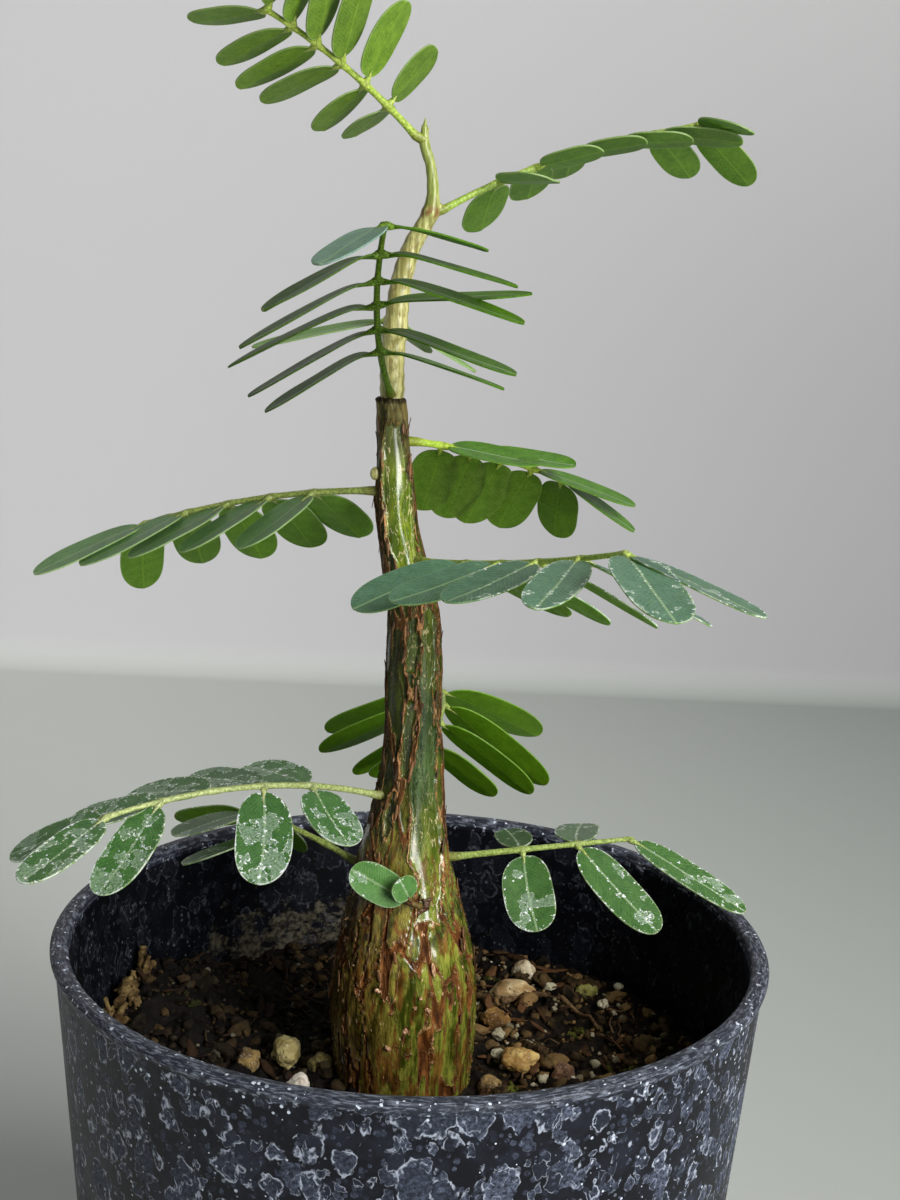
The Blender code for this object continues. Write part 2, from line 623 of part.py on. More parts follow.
def cut_sockets(stem, cutters):
    """A shallow socket in the stem for the root of each leaf."""
    for name, leaf in LEAVES.items():
        root = leaf_path(leaf)[0]
        ahead = leaf_direction(leaf, 0)[0]
        inner = root - ahead * (SOCKET_DEPTH + CLEARANCE)
        outer = root + ahead * 2.2 * MM
        radius = RACHIS_RADIUS[0] * 1.15 + CLEARANCE * 1.1
        as_cutter(tube("socket_" + name, (inner, outer), (radius, radius), 2, cutters))
    boolean(stem, "DIFFERENCE", cutters)
    empty_collection(cutters)


def main():
    clear_scene()
    parts, cutters = make_collections()
    pot = build_pot(parts, cutters)
    soil = build_soil(parts, cutters)
    stones = build_stones(parts, cutters, soil)
    root_hole(soil, cutters)
    stem = build_stem(parts, cutters)
    cut_sockets(stem, cutters)
    leaves = [build_leaf(name, leaf, parts, cutters) for name, leaf in LEAVES.items()]
    for material_name, things in (("pot", [pot]), ("soil", [soil]), ("stem", [stem]),
                                  ("stone", stones), ("leaf", leaves)):
        material = make_material(material_name)
        for thing in things:
            thing.data.materials.clear()
            thing.data.materials.append(material)


main()
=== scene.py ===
import math
import random

import bmesh
import bpy
from mathutils import Matrix, Vector, noise


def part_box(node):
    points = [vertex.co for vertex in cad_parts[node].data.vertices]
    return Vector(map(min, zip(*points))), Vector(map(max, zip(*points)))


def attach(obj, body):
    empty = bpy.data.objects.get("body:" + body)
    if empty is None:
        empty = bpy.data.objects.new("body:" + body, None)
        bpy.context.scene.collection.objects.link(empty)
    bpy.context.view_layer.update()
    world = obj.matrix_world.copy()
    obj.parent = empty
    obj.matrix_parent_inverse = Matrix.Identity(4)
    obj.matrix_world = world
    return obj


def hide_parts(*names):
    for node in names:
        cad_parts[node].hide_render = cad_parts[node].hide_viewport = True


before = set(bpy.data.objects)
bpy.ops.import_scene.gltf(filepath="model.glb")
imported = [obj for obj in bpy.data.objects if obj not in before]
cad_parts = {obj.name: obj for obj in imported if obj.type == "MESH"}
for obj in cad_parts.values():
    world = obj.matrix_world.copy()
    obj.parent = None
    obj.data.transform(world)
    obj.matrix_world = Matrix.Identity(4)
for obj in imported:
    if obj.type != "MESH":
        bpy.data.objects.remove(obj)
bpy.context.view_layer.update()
print("frame loaded:", len(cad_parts), "solids")

noise.seed_set(7)     # noise_vector then gives the same values in every run
mm = 0.001
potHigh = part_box("pot")[1]
rimHeight = potHigh.z        # heights on the plant are counted from the rim
rimRadius = potHigh.x


# colours are written as they look on a screen, 0 to 255
def paint(red, green, blue):
    linear = [(value / 255 + 0.055) / 1.055 for value in (red, green, blue)]
    return (*(value ** 2.4 for value in linear), 1)


def smooth(low, high, value):
    t = max(0.0, min(1.0, (value - low) / (high - low)))
    return t * t * (3 - 2 * t)


def blendThrough(values, t):  # one value, a straight change, or a smooth change through three
    if not isinstance(values, tuple):
        return values
    if len(values) == 2:
        return values[0] + (values[1] - values[0]) * t
    first, middle, last = values
    return first * (1 - t) * (1 - 2 * t) + 4 * middle * t * (1 - t) + last * t * (2 * t - 1)


# shader helpers: each one adds a node and gives back what the next one needs
def addNode(tree, kind, sockets, **settings):
    node = tree.nodes.new("ShaderNode" + kind)
    for name, value in settings.items():
        setattr(node, name, value)
    for name, value in sockets.items():
        if isinstance(value, bpy.types.NodeSocket):
            tree.links.new(value, node.inputs[name])
        else:
            node.inputs[name].default_value = value
    return node


def newFinish(name):
    material = bpy.data.materials.new(name)
    material.use_nodes = True
    tree = material.node_tree
    return material, tree, tree.nodes["Principled BSDF"]


def objectPlace(tree, stretch=(1, 1, 1)):
    where = addNode(tree, "TexCoord", {}).outputs["Object"]
    return addNode(tree, "Mapping", {"Vector": where, "Scale": stretch}).outputs[0]


def axes(tree, place):
    return addNode(tree, "SeparateXYZ", {0: place}).outputs


def blotches(tree, place, size, detail, rough=0.5):  # size is one blotch's width in mm
    sockets = {"Vector": place, "Scale": 1000 / size, "Detail": detail, "Roughness": rough}
    return addNode(tree, "TexNoise", sockets).outputs["Fac"]


def cells(tree, place, size):  # how far each cell's middle is, and three random shares for the cell
    found = addNode(tree, "TexVoronoi", {"Vector": place, "Scale": 1000 / size}).outputs
    return found["Distance"], addNode(tree, "SeparateColor", {0: found["Color"]}).outputs


def warped(tree, place, size, reach):  # pushes a pattern about by up to half of reach, in mm
    push = addNode(tree, "TexNoise", {"Vector": place, "Scale": 1000 / size, "Detail": 2}).outputs["Color"]
    centred = addNode(tree, "VectorMath", {0: push, 1: (0.5, 0.5, 0.5)}, operation="SUBTRACT").outputs[0]
    scaled = addNode(tree, "VectorMath", {0: centred, "Scale": reach * mm}, operation="SCALE").outputs[0]
    return addNode(tree, "VectorMath", {0: place, 1: scaled}, operation="ADD").outputs[0]


def attribute(tree, name):
    return addNode(tree, "Attribute", {}, attribute_name=name).outputs["Fac"]


def calc(tree, operation, first, second=0.0):
    return addNode(tree, "Math", {0: first, 1: second}, operation=operation).outputs[0]


def times(tree, first, *others):
    for other in others:
        first = calc(tree, "MULTIPLY", first, other)
    return first


def plus(tree, first, *others):
    for other in others:
        first = calc(tree, "ADD", first, other)
    return first


def minus(tree, first, second):
    return calc(tree, "SUBTRACT", first, second)


def larger(tree, first, second):
    return calc(tree, "MAXIMUM", first, second)


def span(tree, value, low, high, first=0.0, last=1.0):
    sockets = {"Value": value, "From Min": low, "From Max": high, "To Min": first, "To Max": last}
    return addNode(tree, "MapRange", sockets, interpolation_type="SMOOTHSTEP").outputs[0]


def line(tree, value, middle, width):  # 1 where value is at the middle, fading to 0 at the width
    return span(tree, calc(tree, "ABSOLUTE", minus(tree, value, middle)), 0, width, 1, 0)


def mixColour(tree, amount, under, over):  # each colour is a node's output, or three numbers for paint
    under, over = (paint(*colour) if isinstance(colour, tuple) else colour for colour in (under, over))
    return addNode(tree, "Mix", {0: amount, 6: under, 7: over}, data_type="RGBA").outputs[2]


def addBump(tree, shader, height, depth, strength):  # depth in mm
    bump = addNode(tree, "Bump", {"Height": height, "Distance": depth * mm, "Strength": strength})
    tree.links.new(bump.outputs[0], shader.inputs["Normal"])


def setSockets(tree, shader, **sockets):
    for name, value in sockets.items():
        socket = shader.inputs[name.replace("_", " ")]
        if isinstance(value, bpy.types.NodeSocket):
            tree.links.new(value, socket)
        else:
            socket.default_value = value


# mesh helpers
def finishPiece(name, bm, materials, replaced=(), sharpAbove=None):
    mesh = bpy.data.meshes.new(name)
    bm.to_mesh(mesh)
    bm.free()
    piece = bpy.data.objects.new(name, mesh)
    bpy.context.scene.collection.objects.link(piece)
    for material in materials:
        mesh.materials.append(material)
    mesh.shade_smooth()
    if sharpAbove:
        mesh.set_sharp_from_angle(angle=math.radians(sharpAbove))
    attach(piece, "root")
    if replaced:
        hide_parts(*replaced)
    return piece


def spinProfile(bm, profile, steps):  # the profile is a list of radius and height, from axis to axis
    points = [bm.verts.new((radius, 0, height)) for radius, height in profile]
    edges = [bm.edges.new(pair) for pair in zip(points, points[1:])]
    bmesh.ops.spin(bm, geom=points + edges, cent=(0, 0, 0), axis=(0, 0, 1), angle=math.tau,
                   steps=steps, use_merge=True)
    bmesh.ops.remove_doubles(bm, verts=bm.verts, dist=0.000001)
    bmesh.ops.recalc_face_normals(bm, faces=bm.faces)


def sweepTube(bm, places, radii, sides, marks=()):  # a ring, extruded from place to place
    def headingAt(index):
        before, after = places[max(index - 1, 0)], places[min(index + 1, len(places) - 1)]
        return (after - before).normalized()

    heading = headingAt(0)
    turn = Vector((0, 0, 1)).rotation_difference(heading)
    ring = bmesh.ops.create_circle(bm, cap_ends=True, segments=sides, radius=radii[0],
                                   matrix=Matrix.Translation(places[0]) @ turn.to_matrix().to_4x4())
    verts = ring["verts"]
    made = list(verts)
    edges = list({edge for vert in verts for edge in vert.link_edges if edge.other_vert(vert) in verts})
    for index in range(1, len(places)):
        grown = bmesh.ops.extrude_edge_only(bm, edges=edges)["geom"]
        verts = [item for item in grown if isinstance(item, bmesh.types.BMVert)]
        edges = [item for item in grown if isinstance(item, bmesh.types.BMEdge) and item.is_boundary]
        nextHeading = headingAt(index)
        bend = heading.rotation_difference(nextHeading).to_matrix().to_4x4()
        widen = Matrix.Scale(radii[index] / radii[index - 1], 4)
        move = Matrix.Translation(places[index]) @ bend @ widen @ Matrix.Translation(-places[index - 1])
        bmesh.ops.transform(bm, matrix=move, verts=verts)
        heading = nextHeading
        made += verts
    bmesh.ops.contextual_create(bm, geom=edges)
    for layer, value in marks:
        for vert in made:
            vert[layer] = value
    return made


# camera, lights and the plain floor
photoView = {"lens": 54, "place": (3.2, -225.8, 180.7), "lookDown": 12.78, "lean": 2.52}
stagePlan = {
    "wallDistance": 0.43,
    "coveRadius": 0.012,
    "halfWidth": 1.6,
    "nearEdge": -1.2,
    "wallHeight": 1.7,
    "floorTints": ((220, 224, 218), (144, 150, 146)),     # painted light and shade: left and right
    "wallTints": ((216, 215, 218), (156, 155, 158)),
    "wallAbove": ((217, 216, 219), (182, 181, 182)),
}
lightPlan = {
    "windowLight": {"place": (0.52, -0.36, 0.62), "size": (0.35, 0.35), "power": 3.5,
                    "tint": (1, 0.98, 0.95)},
    "sideLight": {"place": (0.42, -0.55, 0.34), "size": (0.22, 0.5), "power": 6.6, "tint": (1, 1, 0.98)},
    "fillLight": {"place": (-0.8, -0.5, 0.45), "size": (0.9, 0.9), "power": 0.32, "tint": (0.95, 0.97, 1)},
}
roomGlow = 0.17


def setUpCamera():
    data = bpy.data.cameras.new("photoCamera")
    data.lens = photoView["lens"]
    data.sensor_width = 36
    data.clip_start = 0.01
    camera = bpy.data.objects.new("photoCamera", data)
    bpy.context.scene.collection.objects.link(camera)
    place = Matrix.Translation(Vector(photoView["place"]) * mm)
    lookDown = Matrix.Rotation(math.radians(90 - photoView["lookDown"]), 4, "X")
    camera.matrix_world = place @ lookDown @ Matrix.Rotation(math.radians(photoView["lean"]), 4, "Z")
    bpy.context.scene.camera = camera


def setUpLights():
    for name, plan in lightPlan.items():
        data = bpy.data.lights.new(name, "AREA")
        data.shape = "RECTANGLE"
        data.size, data.size_y = plan["size"]
        data.energy = plan["power"]
        data.color = plan["tint"]
        light = bpy.data.objects.new(name, data)
        bpy.context.scene.collection.objects.link(light)
        light.location = plan["place"]
        aim = Vector((0, 0, rimHeight + 20 * mm)) - light.location
        light.rotation_euler = aim.to_track_quat("-Z", "Y").to_euler()
    world = bpy.data.worlds.new("softRoom")
    world.use_nodes = True
    glow = world.node_tree.nodes["Background"]
    glow.inputs["Color"].default_value = (0.96, 0.98, 1, 1)
    glow.inputs["Strength"].default_value = roomGlow
    bpy.context.scene.world = world
    bpy.context.scene.view_settings.view_transform = "Standard"


def makeStage():
    material, tree, shader = newFinish("stagePaint")
    x, _, z = axes(tree, objectPlace(tree))
    # painted light and shade: the floor and wall are lighter on the left and darker on the right, and the
    # wall darker low down
    toRight = span(tree, x, -0.25, 0.3)
    floor, wall, wallAbove = (mixColour(tree, toRight, *stagePlan[name])
                              for name in ("floorTints", "wallTints", "wallAbove"))
    wall = mixColour(tree, span(tree, z, 0.1, 0.34), wall, wallAbove)
    colour = mixColour(tree, span(tree, z, 0.001, stagePlan["coveRadius"]), floor, wall)
    setSockets(tree, shader, Base_Color=colour, Roughness=0.8)
    bm = bmesh.new()
    halfWidth, radius = stagePlan["halfWidth"], stagePlan["coveRadius"]
    wallFoot = stagePlan["wallDistance"] - radius
    outline = [(stagePlan["nearEdge"], 0)]
    for i in range(9):
        angle = math.pi / 2 * i / 8
        outline.append((wallFoot + radius * math.sin(angle), radius - radius * math.cos(angle)))
    outline.append((stagePlan["wallDistance"], stagePlan["wallHeight"]))
    points = [bm.verts.new((-halfWidth, y, z)) for y, z in outline]
    edges = [bm.edges.new(pair) for pair in zip(points, points[1:])]
    wide = bmesh.ops.extrude_edge_only(bm, edges=edges)["geom"]
    moved = [item for item in wide if isinstance(item, bmesh.types.BMVert)]
    bmesh.ops.translate(bm, vec=(2 * halfWidth, 0, 0), verts=moved)
    bmesh.ops.recalc_face_normals(bm, faces=bm.faces)
    mesh = bpy.data.meshes.new("studioSweep")
    bm.to_mesh(mesh)
    bm.free()
    mesh.shade_smooth()
    mesh.materials.append(material)
    sweep = bpy.data.objects.new("studioSweep", mesh)
    bpy.context.scene.collection.objects.link(sweep)


# the pot
potPlan = {
    "lipWidth": 2.4,
    "lipHeight": 1.8,
    "lipProud": 0.5,
    "lipRound": 0.8,
    "wall": 1.8,
    "taper": 0.08,
    "footWidth": 3.2,
    "footHeight": 1.6,
    "floor": 1.8,
    "padRadius": 12,
    "holes": 6,
    "holeRadius": 3,
    "holeCircle": 25,
    "steps": 192,
    "wobble": 0.07,
}
potFinish = {
    "base": (14, 15, 21),
    "haze": (27, 30, 40),
    "flake": ((28, 32, 44), (88, 95, 114)),     # the dimmest and the brightest flake
    "outline": (172, 179, 195),
    "speck": (190, 198, 212),
    "rim": ((38, 41, 50), (128, 134, 148)),
    "bigFlake": 3.7,
    "smallFlake": 1.7,
    "tinyFlake": 0.8,
    "speckGap": 0.85,
    "nickGap": 0.62,
    "shine": (0.15, 0.05),      # outside and inside
    # painted shade: the inner wall is drawn most of the way to this near black
    "inside": (10, 11, 14),
    "crust": ((52, 46, 36), (116, 110, 92)),
}


def potInnerRadius(height):
    return rimRadius - (potPlan["lipProud"] + potPlan["wall"]) * mm - potPlan["taper"] * (rimHeight - height)


def flakes(tree, place, size, share):  # rounded mottles: how much each one shows, and its outline
    distance, (pick, tone, reach) = cells(tree, place, size)
    inside = minus(tree, span(tree, reach, 0, 1, 0.26, 0.66), distance)
    shown = calc(tree, "LESS_THAN", pick, share)
    fill = times(tree, span(tree, inside, 0, 0.06), shown, span(tree, tone, 0, 1, 0.16, 1))
    return fill, times(tree, line(tree, inside, 0.03, 0.055), shown)


def makePotPlastic(name, litShare):  # 1 outside, and less on the inner wall, where painted shade mutes the flakes
    plan = potFinish
    material, tree, shader = newFinish(name)
    plain = objectPlace(tree)
    x, y, height = axes(tree, plain)
    place = warped(tree, objectPlace(tree, (1, 1, 0.8)), 2.2, 2.6)
    place = warped(tree, place, 0.8, 1.0)
    grain = span(tree, blotches(tree, plain, 0.5, 4, 0.7), 0.32, 0.68, 0.25, 1)
    bigFill, bigLine = flakes(tree, place, plan["bigFlake"], 0.7)
    moved = addNode(tree, "VectorMath", {0: place, 1: (0.03, 0.05, 0.02)}, operation="ADD").outputs[0]
    smallFill, smallLine = flakes(tree, moved, plan["smallFlake"], 0.66)
    tinyFill, _ = flakes(tree, plain, plan["tinyFlake"], 0.4)
    fill = larger(tree, bigFill, times(tree, larger(tree, smallFill, tinyFill), 0.8))
    fill = times(tree, fill, span(tree, x, -42 * mm, 42 * mm, 0.6, 1.15))   # painted shade: fainter towards the left
    haze = span(tree, blotches(tree, plain, 5, 4, 0.65), 0.42, 0.7)
    base = mixColour(tree, haze, plan["base"], plan["haze"])
    flake = mixColour(tree, times(tree, fill, grain), *plan["flake"])
    covered = calc(tree, "MINIMUM", times(tree, fill, 3), grain)
    colour = mixColour(tree, times(tree, covered, litShare), base, flake)
    lines = larger(tree, bigLine, times(tree, smallLine, 0.7))
    ragged = span(tree, blotches(tree, plain, 0.9, 3), 0.34, 0.6)
    colour = mixColour(tree, times(tree, lines, ragged, 0.8 * litShare), colour, plan["outline"])

    # the rim is brushed along its length, and nicked
    onRim = span(tree, height, rimHeight - 1.4 * mm, rimHeight - 1.1 * mm)
    flat = addNode(tree, "CombineXYZ", {0: x, 1: y}).outputs[0]
    out = addNode(tree, "VectorMath", {0: flat}, operation="LENGTH").outputs["Value"]
    along = times(tree, minus(tree, out, height), 5)
    brushed = blotches(tree, addNode(tree, "CombineXYZ", {0: x, 1: y, 2: along}).outputs[0], 1.5, 4, 0.65)
    rimColour = mixColour(tree, span(tree, brushed, 0.46, 0.7), *plan["rim"])
    colour = mixColour(tree, times(tree, onRim, 0.85), colour, rimColour)
    distance, shares = cells(tree, warped(tree, plain, 0.5, 0.8), plan["nickGap"])
    nick = calc(tree, "LESS_THAN", distance, span(tree, shares[0], 0.82, 1, 0, 0.4))
    colour = mixColour(tree, times(tree, nick, onRim, litShare), colour, plan["speck"])

    # fine pale specks, larger in some places than in others
    distance, (pick, bright, _) = cells(tree, plain, plan["speckGap"])
    dotSize = span(tree, blotches(tree, plain, 6, 1), 0.35, 0.65, 0.1, 0.28)
    speck = times(tree, calc(tree, "LESS_THAN", distance, dotSize), calc(tree, "GREATER_THAN", pick, 0.7),
                  span(tree, bright, 0, 1, 0.15, 1))
    colour = mixColour(tree, times(tree, speck, litShare), colour, plan["speck"])
    if litShare < 1:   # soil has dried on the inner wall, at the back on the left
        # painted shade darkens the inner wall
        colour = mixColour(tree, 0.72, colour, plan["inside"])
        crusted = blotches(tree, warped(tree, objectPlace(tree, (1, 1, 1.7)), 2, 2), 4.2, 5, 0.68)
        low = span(tree, height, rimHeight - 19 * mm, rimHeight - 8 * mm, 0.08, -0.16)
        back = span(tree, y, 20 * mm, 36 * mm, -0.14, 0.04)
        left = span(tree, x, 2 * mm, 9 * mm, 0, -0.2)
        dried = span(tree, plus(tree, crusted, low, plus(tree, back, left)), 0.54, 0.66)
        dust = mixColour(tree, span(tree, blotches(tree, plain, 0.8, 3), 0.35, 0.65), *plan["crust"])
        colour = mixColour(tree, times(tree, dried, 0.55), colour, dust)
    shine = plan["shine"][0 if litShare == 1 else 1]
    setSockets(tree, shader, Base_Color=colour, Roughness=span(tree, fill, 0, 0.7, 0.42, 0.6),
               Specular_IOR_Level=shine)
    addBump(tree, shader, plus(tree, times(tree, fill, 0.5), times(tree, grain, 0.4)), 0.05, 0.6)
    return material


def makePot():
    plan = potPlan
    lipRound = plan["lipRound"]
    lipInner = rimRadius / mm - plan["lipWidth"]
    lipOuter = rimRadius / mm
    high = rimHeight / mm
    top = high - plan["lipHeight"]
    outerTop = lipOuter - plan["lipProud"] - plan["taper"] * plan["lipHeight"]
    outerFoot = lipOuter - plan["lipProud"] - plan["taper"] * high
    floorTop = plan["footHeight"] + plan["floor"]
    corner = 2

    def inner(height):
        return potInnerRadius(height * mm) / mm

    profile = [(0, floorTop), (inner(floorTop) - corner, floorTop), (inner(floorTop + 0.6), floorTop + 0.6),
               (inner(floorTop + corner), floorTop + corner)]
    profile += [(inner(floorTop + corner + (top - floorTop - corner) * i / 6),
                 floorTop + corner + (top - floorTop - corner) * i / 6) for i in range(1, 7)]
    # the lip's rounded inner and outer edges
    turns = [math.pi / 2 * i / 6 for i in range(7)]
    bends = [(lipRound * (1 - math.cos(turn)), lipRound * (1 - math.sin(turn))) for turn in turns]
    profile += [(lipInner + level, high - steep) for level, steep in bends]
    profile += [(lipOuter - steep, high - level) for level, steep in bends]
    lipFoot = lipOuter - plan["taper"] * plan["lipHeight"]
    profile += [(lipFoot, top + 0.5), (lipFoot - 0.12, top + 0.2)]
    profile += [(outerTop + 0.08, top), (outerTop, top - 0.3)]
    profile += [(outerTop + (outerFoot - outerTop) * i / 8, top * (1 - i / 8)) for i in range(1, 8)]
    profile += [(outerFoot + 0.05, 0.4), (outerFoot - 0.3, 0), (outerFoot - plan["footWidth"], 0),
                (outerFoot - plan["footWidth"] - 0.5, plan["footHeight"]),
                (plan["padRadius"] + 0.5, plan["footHeight"]), (plan["padRadius"], 0), (0, 0)]
    bm = bmesh.new()
    spinProfile(bm, [(radius * mm, height * mm) for radius, height in profile], plan["steps"])
    for vert in bm.verts:  # a moulded rim is never quite true
        out = Vector((vert.co.x, vert.co.y, 0))
        if out.length > 30 * mm and vert.co.z > 5 * mm:
            share = 0.5 + 0.5 * noise.noise(vert.co / (12 * mm))
            vert.co -= out.normalized() * plan["wobble"] * mm * share
    for face in bm.faces:
        middle = face.calc_center_median()
        out = Vector((middle.x, middle.y, 0))
        inside = out.length < potInnerRadius(middle.z) + 0.5 * mm and middle.z < rimHeight - 1.4 * mm
        face.material_index = 1 if inside and middle.z > 2 * mm else 0
    outerPlastic = makePotPlastic("fleckedPlastic", 1.0)
    # a copy of the plastic with painted shade, for the inner wall
    shadedInnerPlastic = makePotPlastic("fleckedPlasticShadedInside", 0.45)
    pot = finishPiece("fleckedPot", bm, [outerPlastic, shadedInnerPlastic], ["pot"], 40)
    drills = bmesh.new()
    for i in range(plan["holes"]):
        angle = math.tau * i / plan["holes"]
        place = Vector((math.cos(angle), math.sin(angle), 0)) * plan["holeCircle"] * mm
        radius = plan["holeRadius"] * mm
        bmesh.ops.create_cone(drills, cap_ends=True, segments=32, radius1=radius, radius2=radius,
                              depth=20 * mm, matrix=Matrix.Translation(place))
    drillMesh = bpy.data.meshes.new("drills")
    drills.to_mesh(drillMesh)
    drills.free()
    drillPiece = bpy.data.objects.new("drills", drillMesh)
    bpy.context.scene.collection.objects.link(drillPiece)
    cut = pot.modifiers.new("drainHoles", "BOOLEAN")
    cut.operation = "DIFFERENCE"
    cut.object = drillPiece
    bpy.context.view_layer.update()
    drilled = bpy.data.meshes.new_from_object(pot.evaluated_get(bpy.context.evaluated_depsgraph_get()))
    pot.modifiers.clear()
    pot.data = drilled
    drilled.name = "fleckedPot"
    bpy.data.objects.remove(drillPiece, do_unlink=True)
    print("pot made")


# the stem: height above the rim, sideways place of the middle, and width, in mm
stemPlan = {
    "oldWood": (
        (-58, -0.3, 2.4), (-45, -0.3, 8.0), (-30, -0.3, 14.5), (-23.6, -0.3, 17.8), (-17.7, -0.5, 19.0),
        (-10.3, -0.8, 19.8), (-4.5, -0.8, 18.9), (1.3, -0.9, 16.6), (7.0, -1.1, 13.7), (11.2, -1.4, 12.2),
        (15.4, -1.2, 10.6), (21.0, -0.9, 8.7), (26.5, -0.8, 7.9), (38.6, -1.2, 7.4), (43.9, -1.5, 6.8),
        (50.5, -2.9, 6.0), (55.6, -4.0, 5.5), (64.6, -4.8, 4.8), (71.2, -5.3, 4.2),
    ),
    "newShoot": (
        (68.5, -5.2, 2.6), (72.1, -5.2, 3.1), (75.9, -5.3, 3.0), (80.8, -5.0, 2.9), (84.5, -4.7, 2.7),
        (87.6, -4.1, 2.5), (90.1, -3.3, 2.3), (92.5, -2.0, 2.1), (94.4, -1.2, 1.8), (96.8, -1.1, 1.5),
        (99.7, -1.5, 1.3), (102.1, -2.3, 1.3), (104.4, -2.4, 0.7),
    ),
    "sides": 220,
    "rings": 400,
    "shoot": {"rings": 150, "sides": 28, "mark": -9},    # the mark tells its skin from the bark
    # the shoot's swollen joints: height, width and how much
    "shootJoints": ((94.3, 1.0, 0.22), (79.5, 0.9, 0.15)),
    "buriedBelow": -27,      # the bark is plain from here down
    "braidWidth": (2.7, 2.2),    # from one strip of bark to the next, on the foot and on the trunk
    "braidStretch": (12, 11),
    "stripShare": (0.075, 0.1),   # how much of the skin the brown strips cover
    "stripRise": (-0.3, 0.3),   # cracks on the foot, raised strips on the trunk
    "windowDepth": 0.3,
    "lip": 0.17,
    "slivers": 270,
    "buds": ((61.6, 200, 1.3), (94.6, 20, 1.2)),
    # the end bud's scales: lean, bearing in radians, length, and how far below the tip they start
    "tipScales": ((0.05, 0, 1.5, 0.6), (0.55, -0.6, 1.3, 1.4), (0.7, 2.6, 1.1, 1.8), (0.5, 1.4, 1.2, 0.9)),
    "corkDots": ((-2.7, -133, 0.8), (-5, -110, 0.9), (-5.6, -75, 0.7), (-6.2, -127, 0.9), (-6.9, -79, 0.8),
                 (-7.3, -69.5, 0.9), (-10.1, -86, 1.0), (-12.6, -100, 1.1), (1.4, -84, 0.6)),
    "backDots": 18,
    "sproutScar": ((6.5, -65, 1.6), (5.7, -68, 1.3), (5, -74, 0.9), (6.9, -71, 0.9)),
    "settle": (0.06, 0.3),       # draws the surface in, so that the raised bark keeps the width above
}
# where the bark has come off the trunk: height, then the bearings of the left and right edges
barkWindows = (
    {"rows": ((49, -100, -50), (51.3, -109, -37), (53.6, -129, -32), (56.8, -127, -24), (59.8, -130, -20),
              (62.7, -126, -42), (65, -118, -46), (68, -110, -52)), "wax": 0.0},
    {"rows": ((4, -78, -52), (7, -74, -44), (9.5, -72, -36), (12, -82, -28), (17, -84, -30), (20, -88, -34),
              (23, -92, -34), (26.8, -86, -33), (29, -77, -34), (32.4, -74, -38), (34, -70, -46),
              (36, -75, -30), (42, -70, -26), (45, -66, -30)), "wax": 0.1, "waxBand": (19, 33.5)},
    {"rows": ((22.5, -112, -94), (28.5, -111, -90), (31.5, -105, -84), (35.4, -96, -92)), "wax": 0.0},
    {"rows": ((36.5, -106, -84), (40, -108, -78), (43.5, -103, -80)), "wax": 0.2},
    {"rows": ((14.5, -128, -116), (18, -130, -112), (20.5, -124, -114)), "wax": 0.0},
    {"rows": ((30, 40, 84), (38, 36, 96), (46, 52, 88)), "wax": 0.6},
    {"rows": ((12, 90, 150), (20, 84, 146), (27, 96, 138)), "wax": 0.3},
    {"rows": ((52, 88, 150), (58, 70, 160), (63, 84, 130)), "wax": 0.1},
)


def stemAt(rows, height):  # middle and radius at a height in metres above the rim
    low, high = rows[0][0] * mm, rows[-1][0] * mm
    height = min(max(height, low), high)
    below = max(i for i, row in enumerate(rows[:-1]) if row[0] * mm <= height)
    start, end = rows[below], rows[below + 1]
    before, after = rows[max(below - 1, 0)], rows[min(below + 2, len(rows) - 1)]
    t = (height / mm - start[0]) / (end[0] - start[0])
    found = []
    for k in (1, 2):
        slopeIn = (end[k] - before[k]) / (end[0] - before[0]) * (end[0] - start[0])
        slopeOut = (after[k] - start[k]) / (after[0] - start[0]) * (end[0] - start[0])
        found.append((2 * t ** 3 - 3 * t ** 2 + 1) * start[k] + (t ** 3 - 2 * t ** 2 + t) * slopeIn
                     + (3 * t ** 2 - 2 * t ** 3) * end[k] + (t ** 3 - t ** 2) * slopeOut)
    return Vector((found[0] * mm, 0, rimHeight + height)), found[1] * mm / 2


def stemSurface(height, bearing):  # height in mm, bearing in degrees
    rows = stemPlan["oldWood"] if height < stemPlan["oldWood"][-1][0] else stemPlan["newShoot"]
    middle, radius = stemAt(rows, height * mm)
    angle = math.radians(bearing)
    return middle + radius * Vector((math.cos(angle), math.sin(angle), 0))


def windowAt(height, angle, radius):  # mm inside the edge of the nearest window, and how waxy it is
    around = Vector((math.cos(angle), math.sin(angle), 0)) * radius / mm
    ragged = 0.5 * noise.noise(Vector((around.x * 0.9, around.y * 0.9, height * 0.3)))
    ragged += 0.25 * noise.noise(Vector((around.x * 2.6, around.y * 2.6, height * 0.7)))
    bearing = math.degrees(angle)
    deepest, wax = -1.0, 0.0
    for window in barkWindows:
        rows = window["rows"]
        level = min(max(height, rows[0][0]), rows[-1][0])
        above = next(i for i in range(1, len(rows)) if level <= rows[i][0])
        low, high = rows[above - 1], rows[above]
        t = (level - low[0]) / (high[0] - low[0])
        middle = ((low[1] + low[2]) * (1 - t) + (high[1] + high[2]) * t) / 2
        half = ((low[2] - low[1]) * (1 - t) + (high[2] - high[1]) * t) / 2
        turn = (bearing - middle + 180) % 360 - 180
        inside = math.radians(half - abs(turn)) * radius / mm
        if height != level:
            inside = min(inside, 0) - 0.45 * abs(height - level)
        inside = min(inside, 0.3 + 0.45 * min(height - rows[0][0], rows[-1][0] - height)) + ragged
        if inside > deepest:
            deepest, wax = inside, window["wax"]
            if "waxBand" in window:
                low, high = window["waxBand"]
                wax = max(wax, smooth(low - 2, low + 2, height) * smooth(high + 1.5, high - 1, height))
    return min(deepest, 1.0), wax


